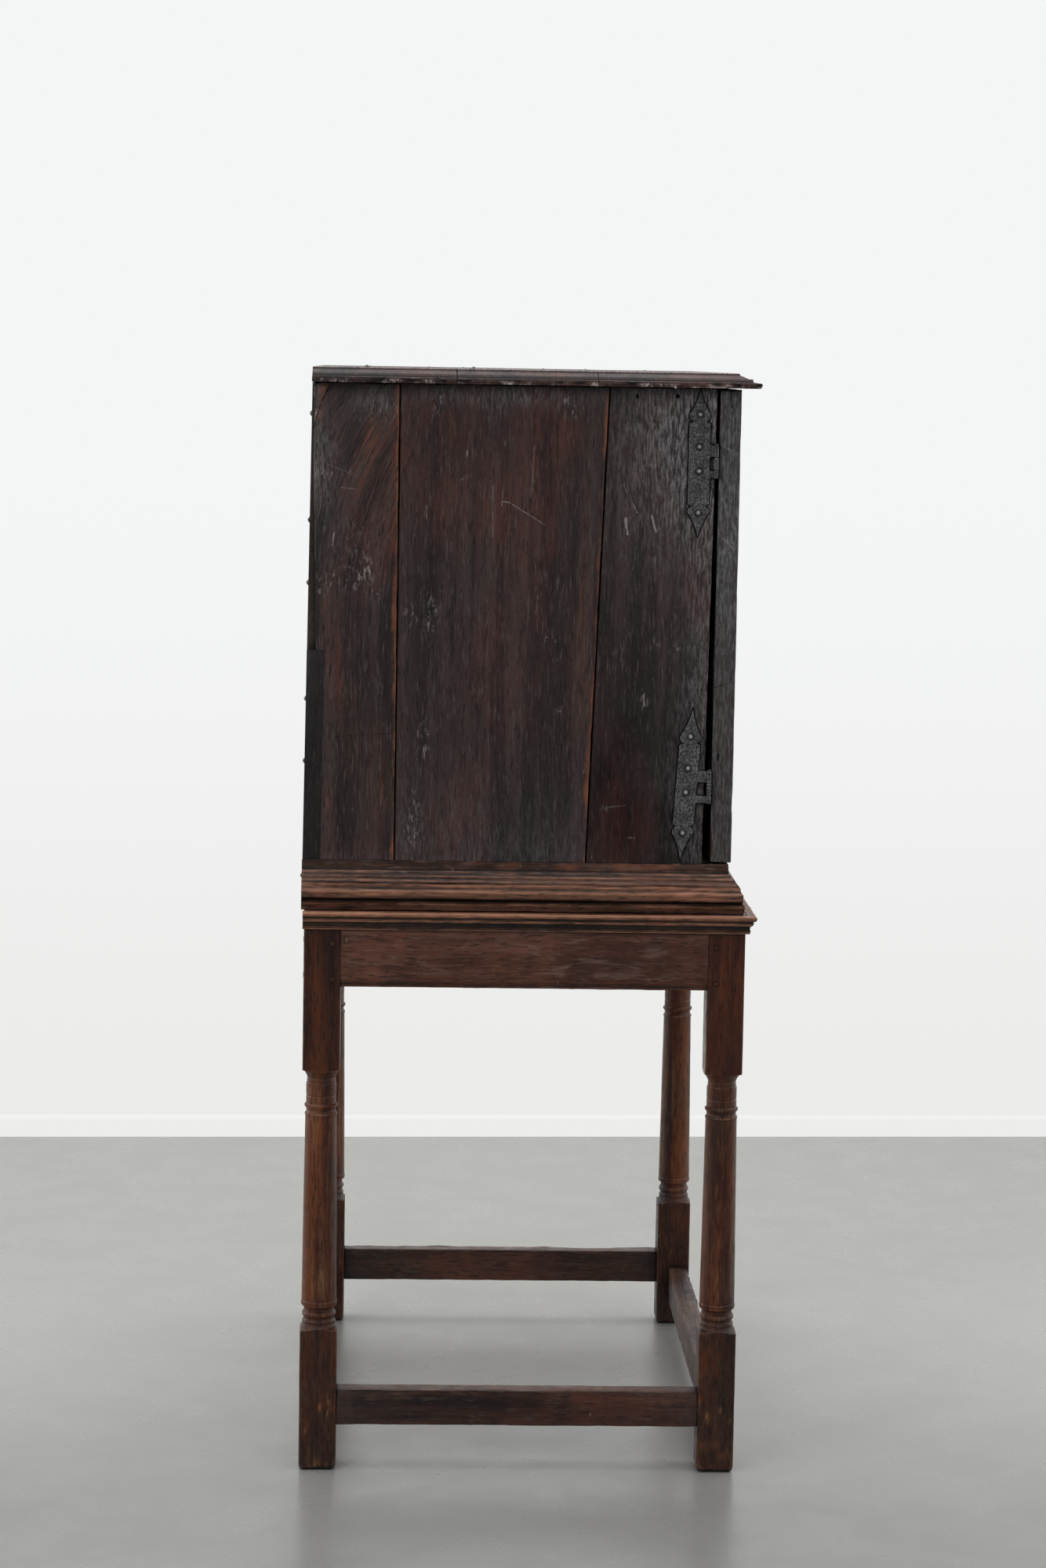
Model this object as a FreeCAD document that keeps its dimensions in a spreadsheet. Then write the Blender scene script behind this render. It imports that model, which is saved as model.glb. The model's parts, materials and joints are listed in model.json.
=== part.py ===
"""A boarded oak cabinet with a pair of framed doors, standing on a joined stand with turned legs.

Millimetres, +Z up, front towards -Y, with the origin at the middle of the footprint on the floor.
Every size comes from the sheet. A depth counts inwards from the outer plane of the stand on its side.
"""
import FreeCAD, Part
import os
import Sketcher

SIZES = {
    # The stand as a whole
    "width_over_legs": 840,
    "depth_over_legs": 596,
    "stand_height": 773.5,
    # Turned legs
    "leg_section": 51,
    "foot_round": 8,
    "lower_block_height": 193,
    "upper_block_height": 217.5,
    # Rails under the cabinet, with a bead along the bottom edge
    "rail_height": 104,
    "rail_thickness": 28,
    "rail_bead_height": 6.5,
    "rail_quirk": 1.2,
    # Stretchers near the floor
    "stretcher_thickness": 30,
    "stretcher_setback": 3,
    "side_stretcher_height": 49.5,
    "side_stretcher_clear": 63.5,
    "front_stretcher_height": 53,
    "front_stretcher_clear": 39,
    # Pegged mortise and tenon joints of the stand
    "tenon_thickness": 9,
    "tenon_setback": 10,
    "tenon_shoulder": 5,
    "tenon_end_gap": 2,
    "joint_clearance": 0.15,
    "peg_diameter": 8.5,
    "peg_setback": 12,
    "peg_length": 30,
    "peg_proud": 1,
    "peg_clearance": 0.1,
    "upper_peg_drop": 45,
    "lower_peg_drop": 94,
    # Moulding round the top of the stand
    "stand_moulding_height": 26,
    "stand_moulding_projection": 14,
    "stand_moulding_tail": 1.5,
    # The carcase: three upright boards to a side
    "cabinet_height": 706,
    "cabinet_setback": 24.5,
    "back_overhang": 4,
    "board_thickness": 22,
    "board_seam": 0.4,
    "side_back_board_width": 124,
    "side_middle_board_top_width": 279,
    "side_middle_board_foot_width": 256,
    "side_edge_gap_top": 3,
    "side_edge_gap_foot": 11.3,
    "repair_strip_width": 24,
    "repair_strip_height": 349,
    # Boards across the back, in a rebate of the sides
    "back_thickness": 14,
    "back_rebate_width": 12,
    "back_seam": 0.5,
    # Bottom boards, shelf and its ledgers
    "bottom_thickness": 22,
    "shelf_thickness": 20,
    "shelf_rise": 312,
    "shelf_setback": 35,
    "shelf_side_gap": 1,
    "ledger_height": 30,
    "ledger_thickness": 20,
    # The top: three boards with a moulded edge
    "top_thickness": 20.5,
    "top_overhang": 10.7,
    "top_front_overhang": 3.5,
    "top_edge_width": 28,
    "top_back_board_width": 199,
    "top_middle_board_width": 187,
    # Moulding round the foot of the cabinet
    "base_moulding_height": 66,
    "base_moulding_projection": 22.9,
    # Forged nails
    "nail_diameter": 3.2,
    "nail_head_diameter": 8.5,
    "nail_head_height": 3,
    "nail_length": 48,
    "nail_clearance": 0.1,
    "nail_end_distance": 42,
    "hinge_nail_length": 16,
    # A pair of doors in front of the sides' edges
    "door_setback": 20,
    "door_thickness": 29,
    "door_edge_setback": 1,
    "door_top_gap": 1.2,
    "door_foot_gap": 2,
    "meeting_gap": 2.4,
    "stile_width": 62,
    "door_top_rail_width": 66,
    "door_foot_rail_width": 76,
    "groove_depth": 9,
    "groove_thickness": 7,
    "frame_chamfer": 6,
    "panel_edge_gap": 1,
    "panel_face_gap": 0.25,
    "panel_bevel_width": 36,
    "panel_field_rise": 5.5,
    "door_tenon_thickness": 9,
    "door_tenon_length": 44,
    "door_tenon_shoulder": 14,
    "door_peg_diameter": 6.5,
    "door_peg_proud": 0.8,
    "door_peg_spread": 22,
    # Side hinges
    "hinge_plate_thickness": 2,
    "hinge_barrel_radius": 3.5,
    "hinge_barrel_length": 45,
    "hinge_top_knuckle": 17,
    "hinge_foot_knuckle": 11,
    "hinge_knuckle_gap": 0.3,
    "hinge_axis_behind_door": 4,
    "hinge_barrel_side_gap": 0.4,
    "hinge_pin_radius": 1.8,
    "hinge_pin_clearance": 0.05,
    "hinge_pin_head_radius": 2.8,
    "hinge_pin_head_height": 1.5,
    "hinge_plate_half_width": 14.6,
    "hinge_neck_half_width": 9,
    "hinge_notch": 2.5,
    "hinge_lobe": 9,
    "hinge_plate_length": 108,
    "upper_spear_length": 45,
    "lower_spear_length": 51,
    "upper_hinge_drop": 97.5,
    "lower_hinge_rise": 105,
    "upper_plate_offset": 22.5,
    "lower_plate_offset": 30,
    "upper_plate_drop": 3,
    "lower_plate_drop": -2.5,
    "hinge_leaf_thickness": 1.6,
    "hinge_leaf_reach": 52,
    "hinge_leaf_height": 40,
    # Lock on the right door, with its keep on the left door
    "lock_rise": 320,
    "lock_case_width": 52,
    "lock_case_height": 78,
    "lock_case_depth": 16,
    "lock_case_wall": 1.5,
    "lock_case_inset": 4,
    "lock_bolt_height": 12,
    "lock_bolt_thickness": 6,
    "lock_bolt_length": 46,
    "lock_bolt_offset": 5,
    "lock_bolt_lift": 16,
    "lock_bolt_inset": 2.4,
    "lock_slot_gap": 0.4,
    "keep_width": 18,
    "keep_inset": 3,
    "keep_wall": 3,
    "keep_gap": 1.2,
    "keyhole_radius": 3.5,
    "keyhole_slot_width": 3.2,
    "keyhole_slot_drop": 11,
    "escutcheon_half_width": 12,
    "escutcheon_half_height": 22,
    "escutcheon_thickness": 1.2,
    # Bolt inside the left door, which shoots up into the top
    "bolt_plate_width": 24,
    "bolt_plate_height": 128,
    "bolt_plate_thickness": 1.5,
    "bolt_plate_top_gap": 12,
    "bolt_width": 9,
    "bolt_thickness": 5,
    "bolt_length": 140,
    "bolt_gap": 0.4,
    "bolt_top_gap": 4,
    "bolt_staple_height": 8,
    "bolt_staple_wall": 2,
    "bolt_staple_inset": 14,
    "bolt_knob_radius": 4,
    "bolt_knob_length": 9,
    "bolt_socket_depth": 12,
    "bolt_socket_gap": 1,
    # How far a cutting body runs past the wood it cuts
    "overrun": 2,
}

# Turned length of a leg, from the lower block up: radius as a share of the section, height as a share
# of the length between the blocks, and, for a curved stretch, its sagitta as a share of its chord.
TURNING_SHARES = (
    (0.750, 0.0),
    (0.490, 0.0125, 0.15),
    (0.455, 0.0333),
    (0.443, 0.0360, 0.22),
    (0.450, 0.0541, -0.18),
    (0.407, 0.0735),
    (0.407, 0.0791, 0.20),
    (0.482, 0.0920),
    (0.486, 0.1096),
    (0.466, 0.1140),
    (0.474, 0.1180),
    (0.4216, 0.8197),
    (0.437, 0.8215),
    (0.437, 0.8266, 0.24),
    (0.437, 0.8516),
    (0.446, 0.8530),
    (0.446, 0.8600),
    (0.404, 0.8650),
    (0.404, 0.9404, 0.17),
    (0.488, 0.9875),
    (0.750, 1.0),
)

# Mould sections: projection and height as shares, and the sagitta of a curved stretch
BASE_MOULDING_SHARES = (
    (0.0, 1.0),
    (0.03, 1.0),
    (0.06, 0.800),
    (0.16, 0.780, -0.20),
    (0.36, 0.706),
    (0.45, 0.632, 0.10),
    (0.56, 0.589),
    (0.73, 0.538, -0.20),
    (0.89, 0.350),
    (0.875, 0.253),
    (0.83, 0.221),
    (0.96, 0.179, -0.07),
    (1.0, 0.136, -0.07),
    (0.95, 0.094),
    (0.92, 0.0),
    (0.0, 0.0),
)
STAND_MOULDING_SHARES = (
    (0.0, 1.0),
    (0.92, 1.0, -0.07),
    (1.0, 0.870, -0.07),
    (0.90, 0.740),
    (0.66, 0.700, 0.22),
    (0.36, 0.410),
    (0.36, 0.240),
    (0.46, 0.190, -0.35),
    (0.42, 0.050),
    (0.0, 0.0),
)
TOP_EDGE_SHARES = (
    (0.0, 1.0, -0.20),
    (0.165, 0.750),
    (0.58, 0.650, -0.18),
    (0.98, 0.380),
    (1.0, 0.200),
    (0.97, 0.060),
    (0.93, 0.0),
)

# Levels of the back boards' edges as shares of the cabinet's height
BACK_BOARD_SHARES = (0.0, 0.34, 0.68, 1.0)

# Each top board's two nails at a side, as shares of the board's width from its back edge
TOP_NAIL_SHARES = ((0.40, 0.85), (0.12, 0.78), (0.15, 0.75))

# The lower hinges lean: how far the plate moves back for each length upwards
LOWER_LEAN_SHARE = -0.063
# Height of a hinge's second nail below the middle, as a share of half the barrel
HINGE_NAIL_SHARE = 0.45


class Size:
    """A length as a formula in the sheet's names, with the value that it has now."""

    def __init__(self, text, value):
        self.text = text
        self.value = value

    def __add__(self, other):
        return Size(f"({self.text} + {other.text})", self.value + other.value)

    def __sub__(self, other):
        return Size(f"({self.text} - {other.text})", self.value - other.value)

    def __mul__(self, factor):
        return Size(f"({self.text} * ({factor!r}))", self.value * factor)

    def __truediv__(self, factor):
        return Size(f"({self.text} / ({factor!r}))", self.value / factor)

    def __neg__(self):
        return self * -1


ZERO = Size("0", 0.0)


class Sheet:
    """The spreadsheet of driving sizes: an attribute is the size with that alias."""

    def __init__(self, document, values):
        self.values = values
        self.table = document.addObject("Spreadsheet::Sheet", "Sizes")
        for row, (alias, value) in enumerate(values.items(), 1):
            cell = f"B{row}"
            self.table.set(f"A{row}", alias)
            self.table.set(cell, str(value))
            self.table.setAlias(cell, alias)
        document.recompute()

    def __getattr__(self, alias):
        return Size("Sizes." + alias, float(self.values[alias]))


doc = FreeCAD.newDocument("CabinetOnStand")
at = Sheet(doc, SIZES)
sub_parts = []


class Side:
    """An outer plane of the stand, and the direction from it to the middle."""

    def __init__(self, plane, inwards):
        self.plane = plane
        self.inwards = inwards

    def place(self, depth):
        return self.plane + depth * self.inwards

    def span(self, near, far):
        """Lowest and highest coordinate between two depths."""
        if self.inwards > 0:
            return self.place(near), self.place(far)
        return self.place(far), self.place(near)


# The overall depth runs from the nose of the stand's moulding to the nail heads at the back
rear_reach = at.back_overhang + at.nail_head_height
middle_shift = (at.stand_moulding_projection - rear_reach) / 2
FRONT = Side(middle_shift - at.depth_over_legs / 2, 1)
BACK = Side(middle_shift + at.depth_over_legs / 2, -1)
LEFT = Side(-at.width_over_legs / 2, 1)
RIGHT = Side(at.width_over_legs / 2, -1)
X_SIDES = {"left": LEFT, "right": RIGHT}
Y_SIDES = {"front": FRONT, "back": BACK}

# Levels and planes that several pieces share
rail_foot = at.stand_height - at.rail_height
cabinet_top = at.stand_height + at.cabinet_height
floor_level = at.stand_height + at.base_moulding_height
door_back = at.door_setback + at.door_thickness
carcase_back = BACK.plane + at.back_overhang
inner_setback = at.cabinet_setback + at.board_thickness
back_board_front = carcase_back - at.back_thickness


def bind(thing, name, size):
    thing.setExpression(name, size.text)


def place(thing, x, y, z):
    bind(thing, "Placement.Base.x", x)
    bind(thing, "Placement.Base.y", y)
    bind(thing, "Placement.Base.z", z)


def box(name, x, y, z):
    """A box from its (low, high) pair on each axis."""
    solid = doc.addObject("Part::Box", name)
    bind(solid, "Length", x[1] - x[0])
    bind(solid, "Width", y[1] - y[0])
    bind(solid, "Height", z[1] - z[0])
    place(solid, x[0], y[0], z[0])
    return solid


TURNS = {
    "+x": FreeCAD.Rotation(FreeCAD.Vector(0, 1, 0), 90),
    "-x": FreeCAD.Rotation(FreeCAD.Vector(0, 1, 0), -90),
    "+y": FreeCAD.Rotation(FreeCAD.Vector(1, 0, 0), -90),
    "-y": FreeCAD.Rotation(FreeCAD.Vector(1, 0, 0), 90),
    "+z": FreeCAD.Rotation(),
    "-z": FreeCAD.Rotation(FreeCAD.Vector(1, 0, 0), 180),
}


def cylinder(name, towards, radius, length, x, y, z):
    """A cylinder that starts at a point and runs towards an axis direction."""
    solid = doc.addObject("Part::Cylinder", name)
    solid.Placement = FreeCAD.Placement(FreeCAD.Vector(), TURNS[towards])
    bind(solid, "Radius", radius)
    bind(solid, "Height", length)
    place(solid, x, y, z)
    return solid


def cone(name, towards, foot_radius, tip_radius, length, x, y, z):
    solid = doc.addObject("Part::Cone", name)
    solid.Placement = FreeCAD.Placement(FreeCAD.Vector(), TURNS[towards])
    bind(solid, "Radius1", foot_radius)
    bind(solid, "Radius2", tip_radius)
    bind(solid, "Height", length)
    place(solid, x, y, z)
    return solid


def wedge(name, near, far, y):
    """A frustum along Y between two (x pair, z pair) rectangles."""
    solid = doc.addObject("Part::Wedge", name)
    (near_x, near_z), (far_x, far_z) = near, far
    bounds = {
        "Xmin": near_x[0],
        "Xmax": near_x[1],
        "Zmin": near_z[0],
        "Zmax": near_z[1],
        "X2min": far_x[0],
        "X2max": far_x[1],
        "Z2min": far_z[0],
        "Z2max": far_z[1],
        "Ymin": y[0],
        "Ymax": y[1],
    }
    for name_of_bound, size in bounds.items():
        bind(solid, name_of_bound, size)
    return solid


def fuse(name, shapes):
    joined = doc.addObject("Part::MultiFuse", name)
    joined.Shapes = shapes
    joined.Refine = True
    return joined


def common(name, shapes):
    kept = doc.addObject("Part::MultiCommon", name)
    kept.Shapes = shapes
    return kept


def cut(name, base, tools):
    """The base without the tools."""
    rest = doc.addObject("Part::Cut", name)
    rest.Base = base
    rest.Tool = tools[0] if len(tools) == 1 else fuse(name + "_tools", tools)
    return rest


def group(name, solids):
    bundle = doc.addObject("Part::Compound", name)
    bundle.Links = solids
    return bundle


def keep(label, thing):
    """Enter a finished sub-part under its own label."""
    thing.Label = label
    sub_parts.append(thing)
    return thing


def chord(run, rise, share):
    """A share of the straight distance over a run and a rise."""
    text = f"(sqrt({run.text} * {run.text} + {rise.text} * {rise.text}) * ({share!r}))"
    return Size(text, (run.value ** 2 + rise.value ** 2) ** 0.5 * share)


def arc_through(start, stop, sagitta_share):
    """An arc between two corners, bulging left of the way from one to the other."""
    across = stop[0].value - start[0].value
    up = stop[1].value - start[1].value
    middle_across = (start[0].value + stop[0].value) / 2 - up * sagitta_share
    middle_up = (start[1].value + stop[1].value) / 2 + across * sagitta_share
    first = FreeCAD.Vector(start[0].value, start[1].value, 0)
    last = FreeCAD.Vector(stop[0].value, stop[1].value, 0)
    return Part.Arc(first, FreeCAD.Vector(middle_across, middle_up, 0), last)


def pin_point(sketch, edge, point, corner):
    """Tie a sketch point to its two coordinates."""
    for kind, axis, size in (("DistanceX", -2, corner[0]), ("DistanceY", -1, corner[1])):
        if size is ZERO:
            sketch.addConstraint(Sketcher.Constraint("PointOnObject", edge, point, axis))
            continue
        rule = Sketcher.Constraint(kind, -1, 1, edge, point, size.value)
        number = sketch.addConstraint(rule)
        bind(sketch, f"Constraints[{number}]", size)


def draw(sketch, corners):
    """A closed outline. A corner with a third value starts an arc with that sagitta share."""
    starts = []
    stops = []
    for number, corner in enumerate(corners):
        after = corners[(number + 1) % len(corners)]
        first = FreeCAD.Vector(corner[0].value, corner[1].value, 0)
        last = FreeCAD.Vector(after[0].value, after[1].value, 0)
        curved = len(corner) == 3
        edge = arc_through(corner, after, corner[2]) if curved else Part.LineSegment(first, last)
        sketch.addGeometry(edge, False)
        drawn_forwards = sketch.getPoint(number, 1).distanceToPoint(first) < Part.Precision.confusion()
        starts.append(1 if drawn_forwards else 2)
        stops.append(2 if drawn_forwards else 1)
    for number, corner in enumerate(corners):
        pin_point(sketch, number, starts[number], corner)
        following = (number + 1) % len(corners)
        link = Sketcher.Constraint("Coincident", number, stops[number], following, starts[following])
        sketch.addConstraint(link)
        if len(corner) == 3:
            after = corners[following]
            share = abs(corner[2])
            radius_share = 1 / (8 * share) + share / 2
            radius = chord(after[0] - corner[0], after[1] - corner[1], radius_share)
            rule = sketch.addConstraint(Sketcher.Constraint("Radius", number, radius.value))
            bind(sketch, f"Constraints[{rule}]", radius)


def new_sketch(body, plane, corners):
    role = {"xy": "XY_Plane", "xz": "XZ_Plane", "yz": "YZ_Plane"}[plane]
    datum = [feature for feature in body.Origin.OriginFeatures if feature.Role == role][0]
    sketch = body.newObject("Sketcher::SketchObject", body.Name + "_outline")
    sketch.AttachmentSupport = [(datum, "")]
    sketch.MapMode = "FlatFace"
    draw(sketch, corners)
    return sketch


def prism(name, plane, corners, span):
    """An outline on an origin plane, padded between two places on the third axis."""
    body = doc.addObject("PartDesign::Body", name)
    sketch = new_sketch(body, plane, corners)
    start = -span[1] if plane == "xz" else span[0]
    bind(sketch, "AttachmentOffset.Base.z", start)
    pad = body.newObject("PartDesign::Pad", name + "_pad")
    pad.Profile = sketch
    bind(pad, "Length", span[1] - span[0])
    return body


def turning(name, corners, x, y):
    """An outline of radius and height, turned about an upright axis."""
    body = doc.addObject("PartDesign::Body", name)
    sketch = new_sketch(body, "xz", corners)
    revolution = body.newObject("PartDesign::Revolution", name + "_turn")
    revolution.Profile = sketch
    revolution.ReferenceAxis = (sketch, ["V_Axis"])
    place(body, x, y, ZERO)
    return body


def scaled(shares, across, up, width, height):
    """Corners from a table of shares: width counts from across, height from up."""
    return [(across + width * share[0], up + height * share[1], *share[2:]) for share in shares]


def mirrored(corners):
    """The same outline on the other side of the middle plane, drawn in the same sense."""
    flipped = []
    for number in range(len(corners) - 1, -1, -1):
        corner = corners[number]
        before = corners[number - 1]
        flipped.append((-corner[0], corner[1], *before[2:]))
    return flipped


# The joined stand

tenon_length = at.leg_section - at.tenon_setback - at.tenon_thickness - at.tenon_end_gap
tenon_depths = (at.tenon_setback, at.tenon_setback + at.tenon_thickness)
peg_levels = (at.stand_height - at.upper_peg_drop, at.stand_height - at.lower_peg_drop)


class Member:
    """A rail or stretcher: the side that it lies on, its set-back and its two heights."""

    def __init__(self, kind, side_name, setback, thickness, foot, head):
        self.label = f"{kind}_{side_name}"
        self.runs_in_x = side_name in Y_SIDES
        self.side = (Y_SIDES if self.runs_in_x else X_SIDES)[side_name]
        self.ends = X_SIDES if self.runs_in_x else Y_SIDES
        self.setback = setback
        self.thickness = thickness
        self.foot = foot
        self.head = head
        self.pegged = kind == "rail"

    def block(self, name, run, depths, heights):
        across = self.side.span(*depths)
        if self.runs_in_x:
            return box(name, run, across, heights)
        return box(name, across, run, heights)

    def tenon(self, end_name, name, clearance):
        """The tenon at one end, or its mortise when a clearance is given."""
        end = self.ends[end_name]
        run = end.span(at.leg_section - tenon_length - clearance, at.leg_section + clearance)
        depths = (tenon_depths[0] - clearance, tenon_depths[1] + clearance)
        heights = (
            self.foot + at.tenon_shoulder - clearance,
            self.head - at.tenon_shoulder + clearance,
        )
        return self.block(name, run, depths, heights)

    def pegs(self, end_name, name, radius, clearance):
        """The two pegs through one joint, or their holes when a clearance is given."""
        if not self.pegged:
            return []
        along = self.ends[end_name].place(at.leg_section - at.peg_setback)
        across = self.side.place(-at.peg_proud)
        sign = "+" if self.side.inwards > 0 else "-"
        pegs = []
        for number, level in enumerate(peg_levels):
            spot = (along, across, level) if self.runs_in_x else (across, along, level)
            towards = sign + ("y" if self.runs_in_x else "x")
            length = at.peg_length + at.peg_proud + clearance
            pegs.append(cylinder(f"{name}_{number}", towards, radius + clearance, length, *spot))
        return pegs

    def outline(self):
        """Section of a rail, with the bead along its bottom edge, from depth and height."""
        bead_top = self.foot + at.rail_bead_height
        quirk_top = bead_top + at.rail_quirk
        face = self.side.place(self.setback)
        quirk = self.side.place(self.setback + at.rail_quirk)
        inside = self.side.place(self.setback + self.thickness)
        bead_share = 0.25 if self.side.inwards > 0 else -0.25
        return [
            (inside, self.foot),
            (inside, self.head),
            (face, self.head),
            (face, quirk_top),
            (quirk, quirk_top),
            (quirk, bead_top, bead_share),
            (quirk, self.foot),
        ]

    def build(self):
        run = self.ends_span()
        if self.pegged:
            plane = "yz" if self.runs_in_x else "xz"
            beam = prism(self.label + "_beam", plane, self.outline(), run)
        else:
            depths = (self.setback, self.setback + self.thickness)
            beam = self.block(self.label + "_beam", run, depths, (self.foot, self.head))
        tenons = [self.tenon(end, f"{self.label}_tenon_{end}", ZERO) for end in self.ends]
        whole = fuse(self.label + "_whole", [beam] + tenons)
        holes = []
        for end in self.ends:
            holes += self.pegs(end, f"{self.label}_bore_{end}", at.peg_diameter / 2, at.peg_clearance)
        return keep(self.label, cut(self.label, whole, holes) if holes else whole)

    def ends_span(self):
        near, far = self.ends.values()
        return near.place(at.leg_section), far.place(at.leg_section)


def stand_members():
    members = []
    for name in ("front", "back"):
        members.append(Member("rail", name, ZERO, at.rail_thickness, rail_foot, at.stand_height))
        foot = at.front_stretcher_clear
        head = foot + at.front_stretcher_height
        member = Member("stretcher", name, at.stretcher_setback, at.stretcher_thickness, foot, head)
        members.append(member)
    for name in ("left", "right"):
        members.append(Member("rail", name, ZERO, at.rail_thickness, rail_foot, at.stand_height))
        foot = at.side_stretcher_clear
        head = foot + at.side_stretcher_height
        member = Member("stretcher", name, at.stretcher_setback, at.stretcher_thickness, foot, head)
        members.append(member)
    return members


def post(name, x, y):
    """A square post with its bottom edges rounded by wear."""
    body = doc.addObject("PartDesign::Body", name)
    corners = [(x[0], y[0]), (x[1], y[0]), (x[1], y[1]), (x[0], y[1])]
    sketch = new_sketch(body, "xy", corners)
    pad = body.newObject("PartDesign::Pad", name + "_pad")
    pad.Profile = sketch
    bind(pad, "Length", at.stand_height)
    doc.recompute()
    foot_edges = []
    for number, edge in enumerate(pad.Shape.Edges, 1):
        if edge.BoundBox.ZMax < at.foot_round.value:
            foot_edges.append(f"Edge{number}")
    worn = body.newObject("PartDesign::Fillet", name + "_worn")
    worn.Base = (pad, foot_edges)
    bind(worn, "Radius", at.foot_round)
    return body


def leg(x_name, y_name, members):
    """A turned leg between square blocks, mortised for the rails and stretchers that meet it."""
    name = f"leg_{y_name}_{x_name}"
    x_side = X_SIDES[x_name]
    y_side = Y_SIDES[y_name]
    half = at.leg_section / 2
    turned = at.stand_height - at.lower_block_height - at.upper_block_height
    profile = scaled(TURNING_SHARES, ZERO, at.lower_block_height, at.leg_section, turned)
    reach = profile[0][0]
    corners = [(ZERO, ZERO), (reach, ZERO)] + profile
    corners += [(reach, at.stand_height), (ZERO, at.stand_height)]
    spindle = turning(name + "_spindle", corners, x_side.place(half), y_side.place(half))
    square = post(name + "_post", x_side.span(ZERO, at.leg_section), y_side.span(ZERO, at.leg_section))
    tools = []
    for member in members:
        meets = member.side in (x_side, y_side)
        if not meets:
            continue
        end = x_name if member.runs_in_x else y_name
        tools.append(member.tenon(end, f"{name}_{member.label}_mortise", at.joint_clearance))
        bores = member.pegs(end, f"{name}_{member.label}_bore", at.peg_diameter / 2, at.peg_clearance)
        tools += bores
    blank = common(name + "_blank", [square, spindle])
    keep(name, cut(name, blank, tools))


def stand_pegs(members):
    pegs = []
    for member in members:
        for end in member.ends:
            pegs += member.pegs(end, f"peg_{member.label}_{end}", at.peg_diameter / 2, ZERO)
    keep("stand_pegs", group("stand_pegs", pegs))


def build_stand():
    members = stand_members()
    for member in members:
        member.build()
    for x_name in X_SIDES:
        for y_name in Y_SIDES:
            leg(x_name, y_name, members)
    stand_pegs(members)


def mitred_mouldings(name, shares, setback, projection, height, foot, tail):
    """A moulding round the front and both sides, mitred at the front corners."""
    profile = scaled(shares, -setback, foot, projection, height)
    reach = projection + at.overrun
    outer_x = at.width_over_legs / 2 - setback
    front_corners = [(FRONT.plane - corner[0], *corner[1:]) for corner in profile]
    nose = (LEFT.plane + setback - reach, RIGHT.plane - setback + reach)
    front_bar = prism(name + "_front_bar", "yz", front_corners, nose)
    front_face = FRONT.plane + setback
    back_end = BACK.plane + tail
    mitre = [
        (-outer_x, front_face),
        (outer_x, front_face),
        (outer_x + reach, front_face - reach),
        (-outer_x - reach, front_face - reach),
    ]
    low = foot - at.overrun
    high = foot + height + at.overrun
    front_wedge = prism(name + "_mitre", "xy", mitre, (low, high))
    keep(name + "_front", common(name + "_front", [front_bar, front_wedge]))
    for side_name in X_SIDES:
        corners = [(at.width_over_legs / 2 + corner[0], *corner[1:]) for corner in profile]
        if side_name == "left":
            corners = mirrored(corners)
        label = f"{name}_{side_name}"
        bar = prism(label + "_bar", "xz", corners, (front_face - reach, back_end))
        keep(label, cut(label, bar, [front_wedge]))


# The carcase

def sloping(back_top, front_top, back_foot, front_foot):
    """A board's outline as (depth place, height) corners, over the whole height of the sides."""
    return [
        (back_foot, at.stand_height),
        (back_top, cabinet_top),
        (front_top, cabinet_top),
        (front_foot, at.stand_height),
    ]


def side_boards(side_name, top_holes, back_holes, hinge_holes):
    """Three upright boards, the back one rebated for the back boards."""
    side = X_SIDES[side_name]
    across = side.span(at.cabinet_setback, inner_setback)
    label = f"side_{side_name}"
    first = carcase_back - at.side_back_board_width
    second_top = first - at.board_seam - at.side_middle_board_top_width
    second_foot = first - at.board_seam - at.side_middle_board_foot_width
    edge_top = FRONT.place(door_back + at.side_edge_gap_top)
    edge_foot = FRONT.place(door_back + at.side_edge_gap_foot)

    rebate_x = side.span(inner_setback - at.back_rebate_width, inner_setback + at.overrun)
    rebate_y = (back_board_front, carcase_back + at.overrun)
    rebate_z = (at.stand_height - at.overrun, cabinet_top + at.overrun)
    rebate = box(label + "_rebate", rebate_x, rebate_y, rebate_z)
    back_board = box(
        label + "_back_board_plank",
        across,
        (first, carcase_back),
        (at.stand_height, cabinet_top),
    )
    tools = [rebate, top_holes, back_holes]
    if side_name == "left":
        notch_front = carcase_back - at.repair_strip_width
        notch_x = side.span(at.cabinet_setback - at.overrun, inner_setback + at.overrun)
        notch_z = (at.stand_height - at.overrun, at.stand_height + at.repair_strip_height)
        notch = box(label + "_notch", notch_x, (notch_front, carcase_back + at.overrun), notch_z)
        tools.append(notch)
        strip_y = (notch_front + at.joint_clearance, carcase_back)
        strip_z = (at.stand_height, at.stand_height + at.repair_strip_height - at.joint_clearance)
        strip = box(label + "_strip_plank", across, strip_y, strip_z)
        keep("side_left_repair_strip", cut("side_left_repair_strip", strip, [rebate, back_holes]))
    keep(label + "_back_board", cut(label + "_back_board", back_board, tools))

    edge = first - at.board_seam
    middle_outline = sloping(edge, second_top, edge, second_foot)
    middle = prism(label + "_middle_plank", "yz", middle_outline, across)
    keep(label + "_middle_board", cut(label + "_middle_board", middle, [top_holes]))

    front_outline = sloping(second_top - at.board_seam, edge_top, second_foot - at.board_seam, edge_foot)
    front = prism(label + "_front_plank", "yz", front_outline, across)
    keep(label + "_front_board", cut(label + "_front_board", front, [top_holes, hinge_holes]))


def inner_width(gap):
    return (LEFT.place(inner_setback + gap), RIGHT.place(inner_setback + gap))


def pair_of_boards(label, x, y, z):
    """Two boards side by side with an open seam, as one group."""
    middle = (y[0] + y[1]) / 2
    front = box(label + "_front_plank", x, (y[0], middle - at.board_seam / 2), z)
    back = box(label + "_back_plank", x, (middle + at.board_seam / 2, y[1]), z)
    keep(label, group(label, [front, back]))


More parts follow.
